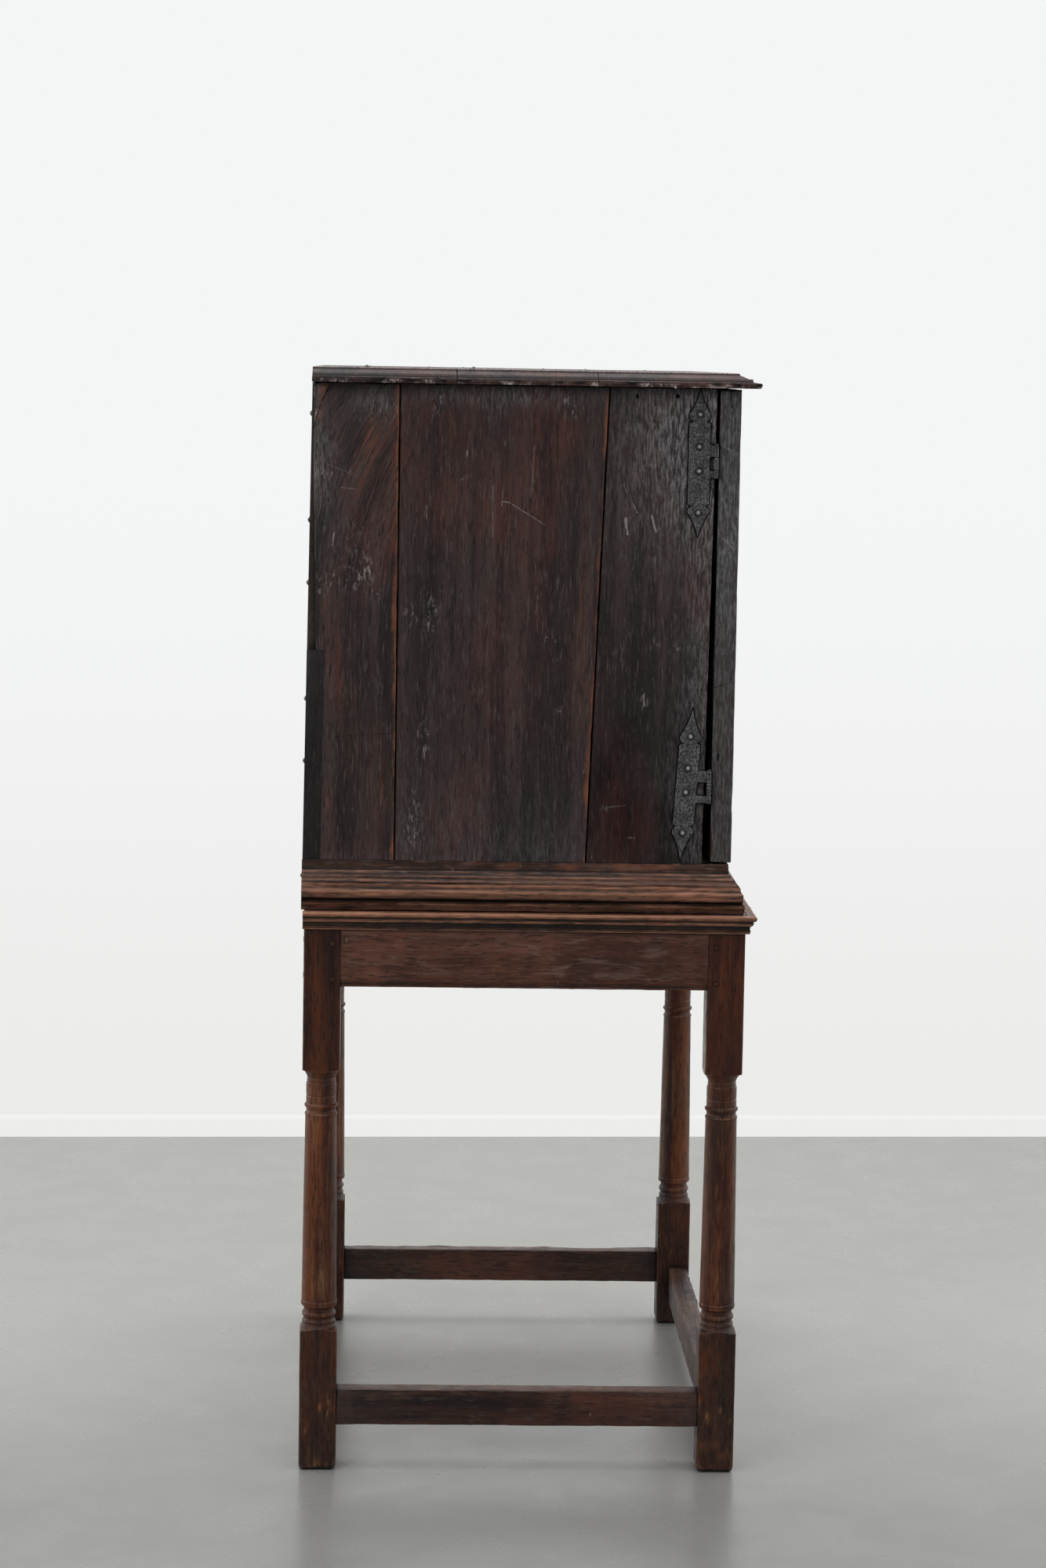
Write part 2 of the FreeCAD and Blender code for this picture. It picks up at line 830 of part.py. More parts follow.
def floor_and_shelf():
    y = (FRONT.place(door_back), back_board_front)
    bottom_z = (floor_level - at.bottom_thickness, floor_level)
    pair_of_boards("bottom_boards", inner_width(ZERO), y, bottom_z)
    shelf_foot = floor_level + at.shelf_rise
    shelf_y = (FRONT.place(door_back + at.shelf_setback), back_board_front)
    shelf_z = (shelf_foot, shelf_foot + at.shelf_thickness)
    pair_of_boards("shelf_boards", inner_width(at.shelf_side_gap), shelf_y, shelf_z)
    ledgers = []
    for side_name, side in X_SIDES.items():
        x = side.span(inner_setback, inner_setback + at.ledger_thickness)
        z = (shelf_foot - at.ledger_height, shelf_foot)
        ledgers.append(box("ledger_" + side_name, x, shelf_y, z))
    keep("shelf_ledgers", group("shelf_ledgers", ledgers))


def back_board_levels():
    return [at.stand_height + at.cabinet_height * share for share in BACK_BOARD_SHARES]


def back_boards(back_holes):
    """Boards across the back, their ends in the rebates of the sides."""
    depth = inner_setback - at.back_rebate_width + at.joint_clearance
    x = (LEFT.place(depth), RIGHT.place(depth))
    y = (back_board_front, carcase_back)
    levels = back_board_levels()
    boards = []
    for number in range(len(levels) - 1):
        z = (levels[number], levels[number + 1] - at.back_seam)
        boards.append(box(f"back_plank_{number}", x, y, z))
    planks = group("back_planks", boards)
    keep("back_boards", cut("back_boards", planks, [back_holes]))


class Nails:
    """A set of forged nails that all point the same way, and the holes that they fill."""

    def __init__(self, name, towards, length, spots):
        self.name = name
        self.towards = towards
        self.length = length
        self.spots = spots

    def solids(self):
        """Each nail: a low domed head on the surface and a shank below it."""
        nails = []
        away = ("-" if self.towards[0] == "+" else "+") + self.towards[1]
        for number, spot in enumerate(self.spots):
            name = f"{self.name}_{number}"
            radius = at.nail_diameter / 2
            head_radius = at.nail_head_diameter / 2
            shank = cylinder(name + "_shank", self.towards, radius, self.length, *spot)
            head = cone(name + "_head", away, head_radius, radius, at.nail_head_height, *spot)
            nails.append(fuse(name, [shank, head]))
        return nails

    def holes(self):
        bores = []
        for number, spot in enumerate(self.spots):
            name = f"{self.name}_{number}_hole"
            radius = at.nail_diameter / 2 + at.nail_clearance
            bores.append(cylinder(name, self.towards, radius, self.length + at.nail_clearance, *spot))
        return bores


def top_joints():
    """Places of the top's edges and joints, from the back to the front."""
    first = carcase_back - at.top_back_board_width
    second = first - at.board_seam - at.top_middle_board_width
    return first, second


def top_nails():
    """Two nails through each end of each top board, down into the sides."""
    first, second = top_joints()
    front_end = FRONT.place(door_back + at.side_edge_gap_foot)
    spans = ((carcase_back, first), (first - at.board_seam, second), (second - at.board_seam, front_end))
    spots = []
    middle = at.cabinet_setback + at.board_thickness / 2
    for side in X_SIDES.values():
        for (back, front), shares in zip(spans, TOP_NAIL_SHARES):
            for share in shares:
                place_of_nail = back - (back - front) * share
                spots.append((side.place(middle), place_of_nail, cabinet_top + at.top_thickness))
    return Nails("top_nail", "-z", at.nail_length, spots)


def back_nails():
    """Two nails through each end of each back board."""
    levels = back_board_levels()
    depth = inner_setback - at.back_rebate_width / 2
    spots = []
    for side in X_SIDES.values():
        for low, high in zip(levels, levels[1:]):
            for level in (low + at.nail_end_distance, high - at.nail_end_distance):
                spots.append((side.place(depth), carcase_back, level))
    return Nails("back_nail", "-y", at.nail_length, spots)


def top_boards(top_holes):
    """Three boards from side to side with moulded ends, the front one moulded along its front too."""
    nose = at.width_over_legs / 2 + at.top_overhang
    start = nose - at.top_edge_width
    right = scaled(TOP_EDGE_SHARES, start, cabinet_top, at.top_edge_width, at.top_thickness)
    whole = right + mirrored(right)
    first, second = top_joints()
    front_nose = FRONT.plane - at.top_front_overhang
    spans = {
        "back": (first, carcase_back),
        "middle": (second, first - at.board_seam),
        "front": (front_nose - at.overrun, second - at.board_seam),
    }
    for name in ("back", "middle"):
        label = f"top_board_{name}"
        plank = prism(label + "_plank", "xz", whole, spans[name])
        keep(label, cut(label, plank, [top_holes]))
    front_start = front_nose + at.top_edge_width
    front_edge = []
    for share in TOP_EDGE_SHARES:
        bulge = [-value for value in share[2:]]
        corner = (front_start - at.top_edge_width * share[0], cabinet_top + at.top_thickness * share[1])
        front_edge.append((*corner, *bulge))
    back_edge = spans["front"][1]
    section = front_edge + [(back_edge, cabinet_top), (back_edge, cabinet_top + at.top_thickness)]
    ends = prism("top_board_front_ends", "xz", whole, spans["front"])
    length = prism("top_board_front_length", "yz", section, (-nose - at.overrun, nose + at.overrun))
    plank = common("top_board_front_plank", [ends, length])
    keep("top_board_front", cut("top_board_front", plank, [top_holes, bolt_socket()]))


def base_rail():
    """The rail across the front, behind the base moulding and in front of the bottom boards."""
    x = (LEFT.place(at.cabinet_setback), RIGHT.place(at.cabinet_setback))
    y = FRONT.span(at.cabinet_setback, door_back)
    keep("base_rail", box("base_rail", x, y, (at.stand_height, floor_level)))


# The doors

door_foot = floor_level + at.door_foot_gap
door_head = cabinet_top - at.door_top_gap
door_outer_depth = at.cabinet_setback + at.door_edge_setback
door_front_place = FRONT.place(at.door_setback)
door_back_place = FRONT.place(door_back)


class Door:
    """One framed door, measured from its outer edge towards the meeting edge."""

    def __init__(self, side_name):
        self.name = side_name
        self.side = X_SIDES[side_name]
        self.width = at.width_over_legs / 2 - door_outer_depth - at.meeting_gap / 2

    def across(self, near, far):
        """Lowest and highest X between two distances from the outer edge."""
        return self.side.span(door_outer_depth + near, door_outer_depth + far)

    def opening(self, grow):
        """The opening inside the frame, grown on every side."""
        x = self.across(at.stile_width - grow, self.width - at.stile_width + grow)
        z = (door_foot + at.door_foot_rail_width - grow, door_head - at.door_top_rail_width + grow)
        return x, z

    def cutters(self, name):
        """What is taken from every frame member: the panel groove and the chamfer round the opening."""
        groove_x, groove_z = self.opening(at.groove_depth)
        middle = at.door_setback + at.door_thickness / 2
        half = at.groove_thickness / 2
        groove = box(name + "_groove", groove_x, FRONT.span(middle - half, middle + half), groove_z)
        wide = self.opening(at.frame_chamfer + at.overrun)
        narrow = self.opening(-at.overrun)
        ends = FRONT.span(at.door_setback - at.overrun, at.door_setback + at.frame_chamfer + at.overrun)
        return [groove, wedge(name + "_chamfer", wide, narrow, ends)]

    def rail_levels(self):
        return {
            "foot": (door_foot, door_foot + at.door_foot_rail_width),
            "top": (door_head - at.door_top_rail_width, door_head),
        }

    def tenon_ends(self):
        """Each tenon's reach as distances from the door's outer edge, by stile."""
        return {
            "hinge": (at.stile_width - at.door_tenon_length, at.stile_width),
            "meeting": (
                self.width - at.stile_width,
                self.width - at.stile_width + at.door_tenon_length,
            ),
        }

    def tenon(self, name, rail, stile, clearance):
        low, high = self.rail_levels()[rail]
        near, far = self.tenon_ends()[stile]
        middle = at.door_setback + at.door_thickness / 2
        half = at.door_tenon_thickness / 2 + clearance
        x = self.across(near - clearance, far + clearance)
        z = (low + at.door_tenon_shoulder - clearance, high - at.door_tenon_shoulder + clearance)
        return box(name, x, FRONT.span(middle - half, middle + half), z)

    def pegs(self, name, rail, stile, clearance):
        """Two pegs through one joint, standing a little proud of the front."""
        low, high = self.rail_levels()[rail]
        near, far = self.tenon_ends()[stile]
        x = self.across((near + far) / 2, (near + far) / 2)[0]
        middle = (low + high) / 2
        spread = at.door_peg_spread / 2
        pegs = []
        for number, level in enumerate((middle - spread, middle + spread)):
            radius = at.door_peg_diameter / 2 + clearance
            length = at.door_thickness + at.door_peg_proud
            start = FRONT.place(at.door_setback - at.door_peg_proud)
            pegs.append(cylinder(f"{name}_{number}", "+y", radius, length, x, start, level))
        return pegs

    def stile(self, stile, extra_tools):
        label = f"door_{self.name}_{stile}_stile"
        near = ZERO if stile == "hinge" else self.width - at.stile_width
        x = self.across(near, near + at.stile_width)
        plank = box(label + "_plank", x, FRONT.span(at.door_setback, door_back), (door_foot, door_head))
        tools = self.cutters(label) + extra_tools
        for rail in self.rail_levels():
            tools.append(self.tenon(f"{label}_{rail}_mortise", rail, stile, at.joint_clearance))
            tools += self.pegs(f"{label}_{rail}_bore", rail, stile, at.peg_clearance)
        keep(label, cut(label, plank, tools))

    def rail(self, rail):
        label = f"door_{self.name}_{rail}_rail"
        x = self.across(at.stile_width, self.width - at.stile_width)
        y = FRONT.span(at.door_setback, door_back)
        plank = box(label + "_plank", x, y, self.rail_levels()[rail])
        shaped = cut(label + "_shaped", plank, self.cutters(label))
        tenons = [self.tenon(f"{label}_{stile}_tenon", rail, stile, ZERO) for stile in self.tenon_ends()]
        whole = fuse(label + "_whole", [shaped] + tenons)
        bores = []
        for stile in self.tenon_ends():
            bores += self.pegs(f"{label}_{stile}_bore", rail, stile, at.peg_clearance)
        keep(label, cut(label, whole, bores))

    def panel(self):
        """A fielded panel: its edge in the grooves, its field raised towards the front."""
        label = f"door_{self.name}_panel"
        reach = at.groove_depth - at.panel_edge_gap
        edge_x, edge_z = self.opening(reach)
        field = self.opening(reach - at.panel_bevel_width)
        middle = at.door_setback + at.door_thickness / 2
        half = at.groove_thickness / 2 - at.panel_face_gap
        board = box(label + "_board", edge_x, FRONT.span(middle - half, middle + half), edge_z)
        foot = self.opening(-at.panel_edge_gap)
        rise = FRONT.span(middle - half - at.panel_field_rise, middle - half)
        raised = wedge(label + "_field", field, foot, rise)
        keep(label, fuse(label, [board, raised]))

    def peg_group(self):
        pegs = []
        for rail in self.rail_levels():
            for stile in self.tenon_ends():
                pegs += self.pegs(f"door_{self.name}_peg_{rail}_{stile}", rail, stile, ZERO)
        label = f"door_{self.name}_pegs"
        keep(label, group(label, pegs))

    def build(self, meeting_tools):
        self.stile("hinge", [])
        self.stile("meeting", meeting_tools)
        for rail in self.rail_levels():
            self.rail(rail)
        self.panel()
        self.peg_group()


# The side hinges

hinge_axis_y = FRONT.place(door_back + at.hinge_axis_behind_door)
hinge_axis_depth = at.cabinet_setback - at.hinge_barrel_side_gap - at.hinge_barrel_radius
HINGE_LEVELS = ("upper", "lower")


class Hinge:
    """A side hinge: a spear-ended plate nailed on the side, a leaf on the door, and their pin."""

    def __init__(self, side_name, level):
        upper = level == "upper"
        self.name = f"{level}_{side_name}"
        self.side = X_SIDES[side_name]
        self.middle = cabinet_top - at.upper_hinge_drop if upper else floor_level + at.lower_hinge_rise
        self.plate_middle = self.middle - (at.upper_plate_drop if upper else at.lower_plate_drop)
        self.offset = at.upper_plate_offset if upper else at.lower_plate_offset
        self.spear = at.upper_spear_length if upper else at.lower_spear_length
        self.lean_share = 0.0 if upper else LOWER_LEAN_SHARE
        self.x = self.side.place(hinge_axis_depth)
        self.foot = self.middle - at.hinge_barrel_length / 2
        self.head = self.middle + at.hinge_barrel_length / 2

    def spot(self, across, up):
        """A point of the plate from its centre line, which leans on the lower hinges."""
        return hinge_axis_y + self.offset + across + up * self.lean_share, self.plate_middle + up

    def plate_outline(self):
        half = at.hinge_plate_half_width
        neck = at.hinge_neck_half_width
        length = at.hinge_plate_length / 2
        waist = length + at.hinge_notch
        lobe = waist + at.hinge_lobe
        tip = length + self.spear
        return [
            self.spot(half, -length),
            self.spot(half, length),
            (*self.spot(neck, waist), -0.2),
            (*self.spot(half, lobe), 0.05),
            (*self.spot(ZERO, tip), 0.05),
            (*self.spot(-half, lobe), -0.2),
            self.spot(-neck, waist),
            self.spot(-half, length),
            self.spot(-half, -length),
            (*self.spot(-neck, -waist), -0.2),
            (*self.spot(-half, -lobe), 0.05),
            (*self.spot(ZERO, -tip), 0.05),
            (*self.spot(half, -lobe), -0.2),
            self.spot(neck, -waist),
        ]

    def knuckles(self):
        """Heights of the plate's two knuckles and of the leaf's knuckle between them."""
        return {
            "foot": (self.foot, self.foot + at.hinge_foot_knuckle),
            "top": (self.head - at.hinge_top_knuckle, self.head),
        }

    def bore(self, name):
        radius = at.hinge_pin_radius + at.hinge_pin_clearance
        start = self.foot - at.overrun
        length = at.hinge_barrel_length + at.overrun * 2
        return cylinder(name, "+z", radius, length, self.x, hinge_axis_y, start)

    def plate(self, nail_holes):
        name = "hinge_plate_" + self.name
        across = self.side.span(at.cabinet_setback - at.hinge_plate_thickness, at.cabinet_setback)
        solids = [prism(name + "_sheet", "yz", self.plate_outline(), across)]
        for knuckle, heights in self.knuckles().items():
            length = heights[1] - heights[0]
            at_foot = (self.x, hinge_axis_y, heights[0])
            barrel = cylinder(f"{name}_{knuckle}", "+z", at.hinge_barrel_radius, length, *at_foot)
            strap_y = (hinge_axis_y, hinge_axis_y + self.offset - at.hinge_neck_half_width)
            strap = box(f"{name}_{knuckle}_strap", across, strap_y, heights)
            solids += [barrel, strap]
        return cut(name, fuse(name + "_forged", solids), [self.bore(name + "_bore"), nail_holes])

    def leaf(self):
        """The door's half: a knuckle, a strap through the gap and a plate behind the stile."""
        name = "hinge_leaf_" + self.name
        heights = self.knuckles()
        gap = at.hinge_knuckle_gap
        low = heights["foot"][1] + gap
        high = heights["top"][0] - gap
        at_foot = (self.x, hinge_axis_y, low)
        barrel = cylinder(name + "_knuckle", "+z", at.hinge_barrel_radius, high - low, *at_foot)
        thickness = (door_back, door_back + at.hinge_leaf_thickness)
        neck_end = door_outer_depth + at.hinge_barrel_radius * 2
        neck_x = self.side.span(hinge_axis_depth, neck_end)
        neck = box(name + "_neck", neck_x, FRONT.span(*thickness), (low, high))
        middle = (low + high) / 2
        half = at.hinge_leaf_height / 2
        tip = neck_end + at.hinge_leaf_reach
        shoulder = tip - half
        corners = [
            (self.side.place(neck_end), middle - half),
            (self.side.place(shoulder), middle - half),
            (self.side.place(tip), middle),
            (self.side.place(shoulder), middle + half),
            (self.side.place(neck_end), middle + half),
        ]
        sheet = prism(name + "_sheet", "xz", corners, FRONT.span(*thickness))
        return cut(name, fuse(name + "_forged", [barrel, neck, sheet]), [self.bore(name + "_bore")])

    def pin(self):
        name = "hinge_pin_" + self.name
        length = at.hinge_barrel_length + at.hinge_pin_head_height
        at_foot = (self.x, hinge_axis_y, self.foot)
        shank = cylinder(name + "_shank", "+z", at.hinge_pin_radius, length, *at_foot)
        radius = at.hinge_pin_head_radius
        height = at.hinge_pin_head_height
        head = cylinder(name + "_head", "+z", radius, height, self.x, hinge_axis_y, self.head)
        return fuse(name, [shank, head])

    def nails(self):
        """A nail in each spear and two between, through the plate into the side."""
        length = at.hinge_plate_length / 2
        lobe = length + at.hinge_notch + at.hinge_lobe
        middle = at.hinge_barrel_length / 2
        x = self.side.place(at.cabinet_setback - at.hinge_plate_thickness)
        spots = []
        for up in (-lobe, -middle * HINGE_NAIL_SHARE, middle, lobe):
            y, z = self.spot(ZERO, up)
            spots.append((x, y, z))
        towards = "+x" if self.side.inwards > 0 else "-x"
        return Nails("hinge_nail_" + self.name, towards, at.hinge_nail_length, spots)


def all_hinges():
    return {side: [Hinge(side, level) for level in HINGE_LEVELS] for side in X_SIDES}


def build_hinges(hinges, nail_holes):
    pins = []
    nails = []
    for side_name, pair in hinges.items():
        plates = [hinge.plate(nail_holes[side_name]) for hinge in pair]
        keep("hinge_plates_" + side_name, group("hinge_plates_" + side_name, plates))
        leaves = [hinge.leaf() for hinge in pair]
        keep("hinge_leaves_" + side_name, group("hinge_leaves_" + side_name, leaves))
        for hinge in pair:
            pins.append(hinge.pin())
            nails += hinge.nails().solids()
    keep("hinge_pins", group("hinge_pins", pins))
    keep("hinge_nails", group("hinge_nails", nails))


# The lock on the right door

lock_near = at.meeting_gap / 2 + at.lock_case_inset
keyhole_x = at.meeting_gap / 2 + at.stile_width / 2
lock_level = door_foot + at.lock_rise
bolt_foot = lock_level + at.lock_bolt_lift


def keyhole(name, start, length):
    """A round hole with a slot below it, running back from a place in front."""
    centre = (keyhole_x, start, lock_level)
    round_hole = cylinder(name + "_round", "+y", at.keyhole_radius, length, *centre)
    half = at.keyhole_slot_width / 2
    slot_z = (lock_level - at.keyhole_slot_drop, lock_level)
    slot = box(name + "_slot", (keyhole_x - half, keyhole_x + half), (start, start + length), slot_z)
    return [round_hole, slot]


def lock_heights(gap):
    return bolt_foot - gap, bolt_foot + at.lock_bolt_height + gap


def lock_depths(gap):
    near = door_back + at.lock_bolt_offset - gap
    far = door_back + at.lock_bolt_offset + at.lock_bolt_thickness + gap
    return FRONT.span(near, far)


def lock():
    """The case behind the right door's meeting stile, its bolt, keep and escutcheon."""
    half = at.lock_case_height / 2
    x = (lock_near, lock_near + at.lock_case_width)
    y = FRONT.span(door_back, door_back + at.lock_case_depth)
    z = (lock_level - half, lock_level + half)
    wall = at.lock_case_wall
    shell = box("lock_case_shell", x, y, z)
    hollow_y = (y[0] - at.overrun, y[1] - wall)
    hollow = box("lock_case_hollow", (x[0] + wall, x[1] - wall), hollow_y, (z[0] + wall, z[1] - wall))
    slot_x = (x[0] - at.overrun, x[0] + at.overrun)
    slot = box("lock_case_slot", slot_x, lock_depths(at.lock_slot_gap), lock_heights(at.lock_slot_gap))
    keep("lock_case", cut("lock_case", shell, [hollow, slot]))

    start = at.meeting_gap / 2 + at.lock_bolt_inset
    bolt_x = (start, start + at.lock_bolt_length)
    keep("lock_bolt", box("lock_bolt", bolt_x, lock_depths(ZERO), lock_heights(ZERO)))

    far = -at.meeting_gap / 2 - at.keep_inset
    keep_x = (far - at.keep_width, far)
    low, high = lock_heights(at.keep_gap)
    near_y, far_y = lock_depths(at.keep_gap)
    block_y = (door_back_place, far_y + at.keep_wall)
    block = box("lock_keep_block", keep_x, block_y, (low - at.keep_wall, high + at.keep_wall))
    mouth_x = (keep_x[0] + at.keep_wall, far + at.overrun)
    mouth = box("lock_keep_mouth", mouth_x, (near_y, far_y), (low, high))
    keep("lock_keep", cut("lock_keep", block, [mouth]))

    wide = at.escutcheon_half_width
    tall = at.escutcheon_half_height
    middle = lock_level - at.keyhole_slot_drop / 2
    corners = [
        (keyhole_x + wide, middle - tall / 2),
        (keyhole_x + wide, middle + tall / 2, 0.1),
        (keyhole_x, middle + tall, 0.1),
        (keyhole_x - wide, middle + tall / 2),
        (keyhole_x - wide, middle - tall / 2, 0.1),
        (keyhole_x, middle - tall, 0.1),
    ]
    plate_y = (door_front_place - at.escutcheon_thickness, door_front_place)
    plate = prism("escutcheon_plate", "xz", corners, plate_y)
    through = at.escutcheon_thickness + at.overrun * 2
    holes = keyhole("escutcheon_keyhole", plate_y[0] - at.overrun, through)
    keep("escutcheon", cut("escutcheon", plate, holes))


# The bolt inside the left door

bolt_x_middle = -at.meeting_gap / 2 - at.stile_width / 2
bolt_head = cabinet_top - at.bolt_top_gap


def bolt_depths(gap):
    near = door_back + at.bolt_plate_thickness + at.bolt_gap
    return FRONT.span(near - gap, near + at.bolt_thickness + gap)


def bolt_width(gap):
    half = at.bolt_width / 2 + gap
    return bolt_x_middle - half, bolt_x_middle + half


def bolt_socket():
    """The socket in the underside of the top that takes the door bolt."""
    z = (cabinet_top - at.overrun, cabinet_top + at.bolt_socket_depth)
    return box("bolt_socket", bolt_width(at.bolt_socket_gap), bolt_depths(at.bolt_socket_gap), z)


def door_bolt():
    """A flat bolt with a knob, which slides up through two staples on a plate."""
    foot = bolt_head - at.bolt_length
    bar = box("door_bolt_bar", bolt_width(ZERO), bolt_depths(ZERO), (foot, bolt_head))
    plate_top = door_head - at.bolt_plate_top_gap
    plate_foot = plate_top - at.bolt_plate_height
    middle = (plate_top + plate_foot) / 2
    knob_y = bolt_depths(ZERO)[0]
    length = at.bolt_thickness + at.bolt_knob_length
    knob = cylinder("door_bolt_knob", "+y", at.bolt_knob_radius, length, bolt_x_middle, knob_y, middle)
    keep("door_bolt", fuse("door_bolt", [bar, knob]))

    half = at.bolt_plate_width / 2
    plate_x = (bolt_x_middle - half, bolt_x_middle + half)
    plate_y = FRONT.span(door_back, door_back + at.bolt_plate_thickness)
    solids = [box("door_bolt_plate", plate_x, plate_y, (plate_foot, plate_top))]
    channel_x = bolt_width(at.bolt_gap)
    channel_y = (plate_y[1], bolt_depths(at.bolt_gap)[1])
    wall = at.bolt_staple_wall
    for name, low in (
        ("foot", plate_foot + at.bolt_staple_inset),
        ("top", plate_top - at.bolt_staple_inset - at.bolt_staple_height),
    ):
        x = (channel_x[0] - wall, channel_x[1] + wall)
        z = (low, low + at.bolt_staple_height)
        block = box(f"door_bolt_staple_{name}_block", x, (plate_y[0], channel_y[1] + wall), z)
        way = box(f"door_bolt_staple_{name}_way", channel_x, channel_y, (z[0] - wall, z[1] + wall))
        solids.append(cut(f"door_bolt_staple_{name}", block, [way]))
    keep("door_bolt_guide", fuse("door_bolt_guide", solids))


def build_cabinet():
    over_top = top_nails()
    across_back = back_nails()
    hinges = all_hinges()
    top_holes = group("top_nail_holes", over_top.holes())
    back_holes = group("back_nail_holes", across_back.holes())
    hinge_holes = {}
    for side_name, pair in hinges.items():
        bores = []
        for hinge in pair:
            bores += hinge.nails().holes()
        hinge_holes[side_name] = group("hinge_nail_holes_" + side_name, bores)
    for side_name in X_SIDES:
        side_boards(side_name, top_holes, back_holes, hinge_holes[side_name])
    floor_and_shelf()
    back_boards(back_holes)
    keep("back_nails", group("back_nails", across_back.solids()))
    top_boards(top_holes)
    keep("top_nails", group("top_nails", over_top.solids()))
    base_rail()
    for side_name in X_SIDES:
        stile_holes = []
        if side_name == "right":
            length = at.door_thickness + at.overrun * 2
            stile_holes = keyhole("stile_keyhole", door_front_place - at.overrun, length)
        Door(side_name).build(stile_holes)
    build_hinges(hinges, hinge_holes)
    lock()
    door_bolt()


def check_model():
    """Stop if an object failed or a sub-part isn't a valid solid."""
    for thing in doc.Objects:
        if "Invalid" in thing.State or "Error" in thing.State:
            raise RuntimeError(f"{thing.Label} failed: {thing.State}")
    for thing in sub_parts:
        shape = thing.Shape
        if shape.isNull() or not shape.isValid() or not shape.Solids:
            raise RuntimeError(f"{thing.Label} has no valid solid")


build_stand()
mitred_mouldings(
    "stand_moulding",
    STAND_MOULDING_SHARES,
    ZERO,
    at.stand_moulding_projection,
    at.stand_moulding_height,
    at.stand_height - at.stand_moulding_height,
    at.stand_moulding_tail,
)
mitred_mouldings(
    "base_moulding",
    BASE_MOULDING_SHARES,
    at.cabinet_setback,
    at.base_moulding_projection,
    at.base_moulding_height,
    at.stand_height,
    at.back_overhang,
)
build_cabinet()
doc.recompute()
check_model()
os.makedirs("parts", exist_ok=True)
for sub_part in sub_parts:
    sub_part.Shape.exportStep(f"parts/{sub_part.Label}.step")
print(len(sub_parts), "sub-parts written")
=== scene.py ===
"""The looks of the old oak cabinet on its turned stand: worn pieces, oak and iron, light and camera.

Metres, in the frame of the CAD model. Each worn piece stands in for the CAD node of the same name.
"""

import math

import bmesh
import bpy
import numpy as np
from mathutils import Matrix, Vector
from mathutils.geometry import tessellate_polygon
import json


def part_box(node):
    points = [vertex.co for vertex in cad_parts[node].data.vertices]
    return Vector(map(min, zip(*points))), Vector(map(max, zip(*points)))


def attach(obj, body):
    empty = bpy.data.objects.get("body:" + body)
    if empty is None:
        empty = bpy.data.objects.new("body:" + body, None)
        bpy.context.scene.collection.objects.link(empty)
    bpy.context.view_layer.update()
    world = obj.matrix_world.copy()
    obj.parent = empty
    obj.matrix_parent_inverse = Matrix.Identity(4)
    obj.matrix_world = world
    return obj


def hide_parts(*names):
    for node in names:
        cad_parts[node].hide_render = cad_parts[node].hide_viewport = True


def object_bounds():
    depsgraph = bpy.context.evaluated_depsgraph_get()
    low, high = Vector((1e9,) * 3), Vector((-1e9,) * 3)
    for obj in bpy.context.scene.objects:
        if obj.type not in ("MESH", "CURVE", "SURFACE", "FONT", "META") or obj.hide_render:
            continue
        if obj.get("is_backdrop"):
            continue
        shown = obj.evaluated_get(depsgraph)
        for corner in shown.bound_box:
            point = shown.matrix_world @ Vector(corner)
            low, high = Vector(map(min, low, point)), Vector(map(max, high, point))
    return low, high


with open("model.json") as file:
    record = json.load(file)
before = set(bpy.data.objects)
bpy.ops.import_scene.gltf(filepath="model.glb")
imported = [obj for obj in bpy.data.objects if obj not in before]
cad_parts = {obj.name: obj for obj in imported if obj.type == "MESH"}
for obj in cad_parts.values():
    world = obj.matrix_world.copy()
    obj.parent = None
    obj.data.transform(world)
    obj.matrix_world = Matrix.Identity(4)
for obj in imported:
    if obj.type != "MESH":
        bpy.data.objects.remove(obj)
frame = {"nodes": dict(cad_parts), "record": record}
cad_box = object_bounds()

MM = 0.001
BODY_OF = {node: body for body, nodes in frame["record"]["behaviour"]["bodies"].items() for node in nodes}
X_SIDES = {"left": -1, "right": 1}
# Millimetres from a seam at which no bright band shows, and a spread that covers the whole thickness
NO_RIM = 100.0
ANYWHERE = 1e6


# Noise and small maths

def hashed(cells, seed):
    """A repeatable number from 0 to 1 for each lattice cell."""
    mixed = cells[:, 0] * 374761393 + cells[:, 1] * 668265263 + cells[:, 2] * 1440662683 + seed * 974634777
    mixed = (mixed ^ (mixed >> 13)) * 1274126177
    return ((mixed ^ (mixed >> 16)) & 0xFFFF) / 65535.0


def noise(points, size, seed=0):
    """Smooth noise from -1 to 1 that changes over about the given size, one number or three."""
    scaled = points / size
    base = np.floor(scaled).astype(np.int64)
    part = scaled - base
    part = part * part * (3 - 2 * part)
    total = np.zeros(len(points))
    for corner in range(8):
        step = np.array([corner & 1, corner >> 1 & 1, corner >> 2 & 1])
        total += np.prod(np.where(step, part, 1 - part), axis=1) * hashed(base + step, seed)
    return total * 2 - 1


def smooth_step(value, low, high):
    part = np.clip((value - low) / (high - low), 0, 1)
    return part * part * (3 - 2 * part)


def bump(points, centre, size):
    """A soft spot from 1 at a centre to 0 away from it, with a size for each axis."""
    return np.exp(-np.sum(((points - np.array(centre)) / np.array(size)) ** 2, axis=1))


# Meshes

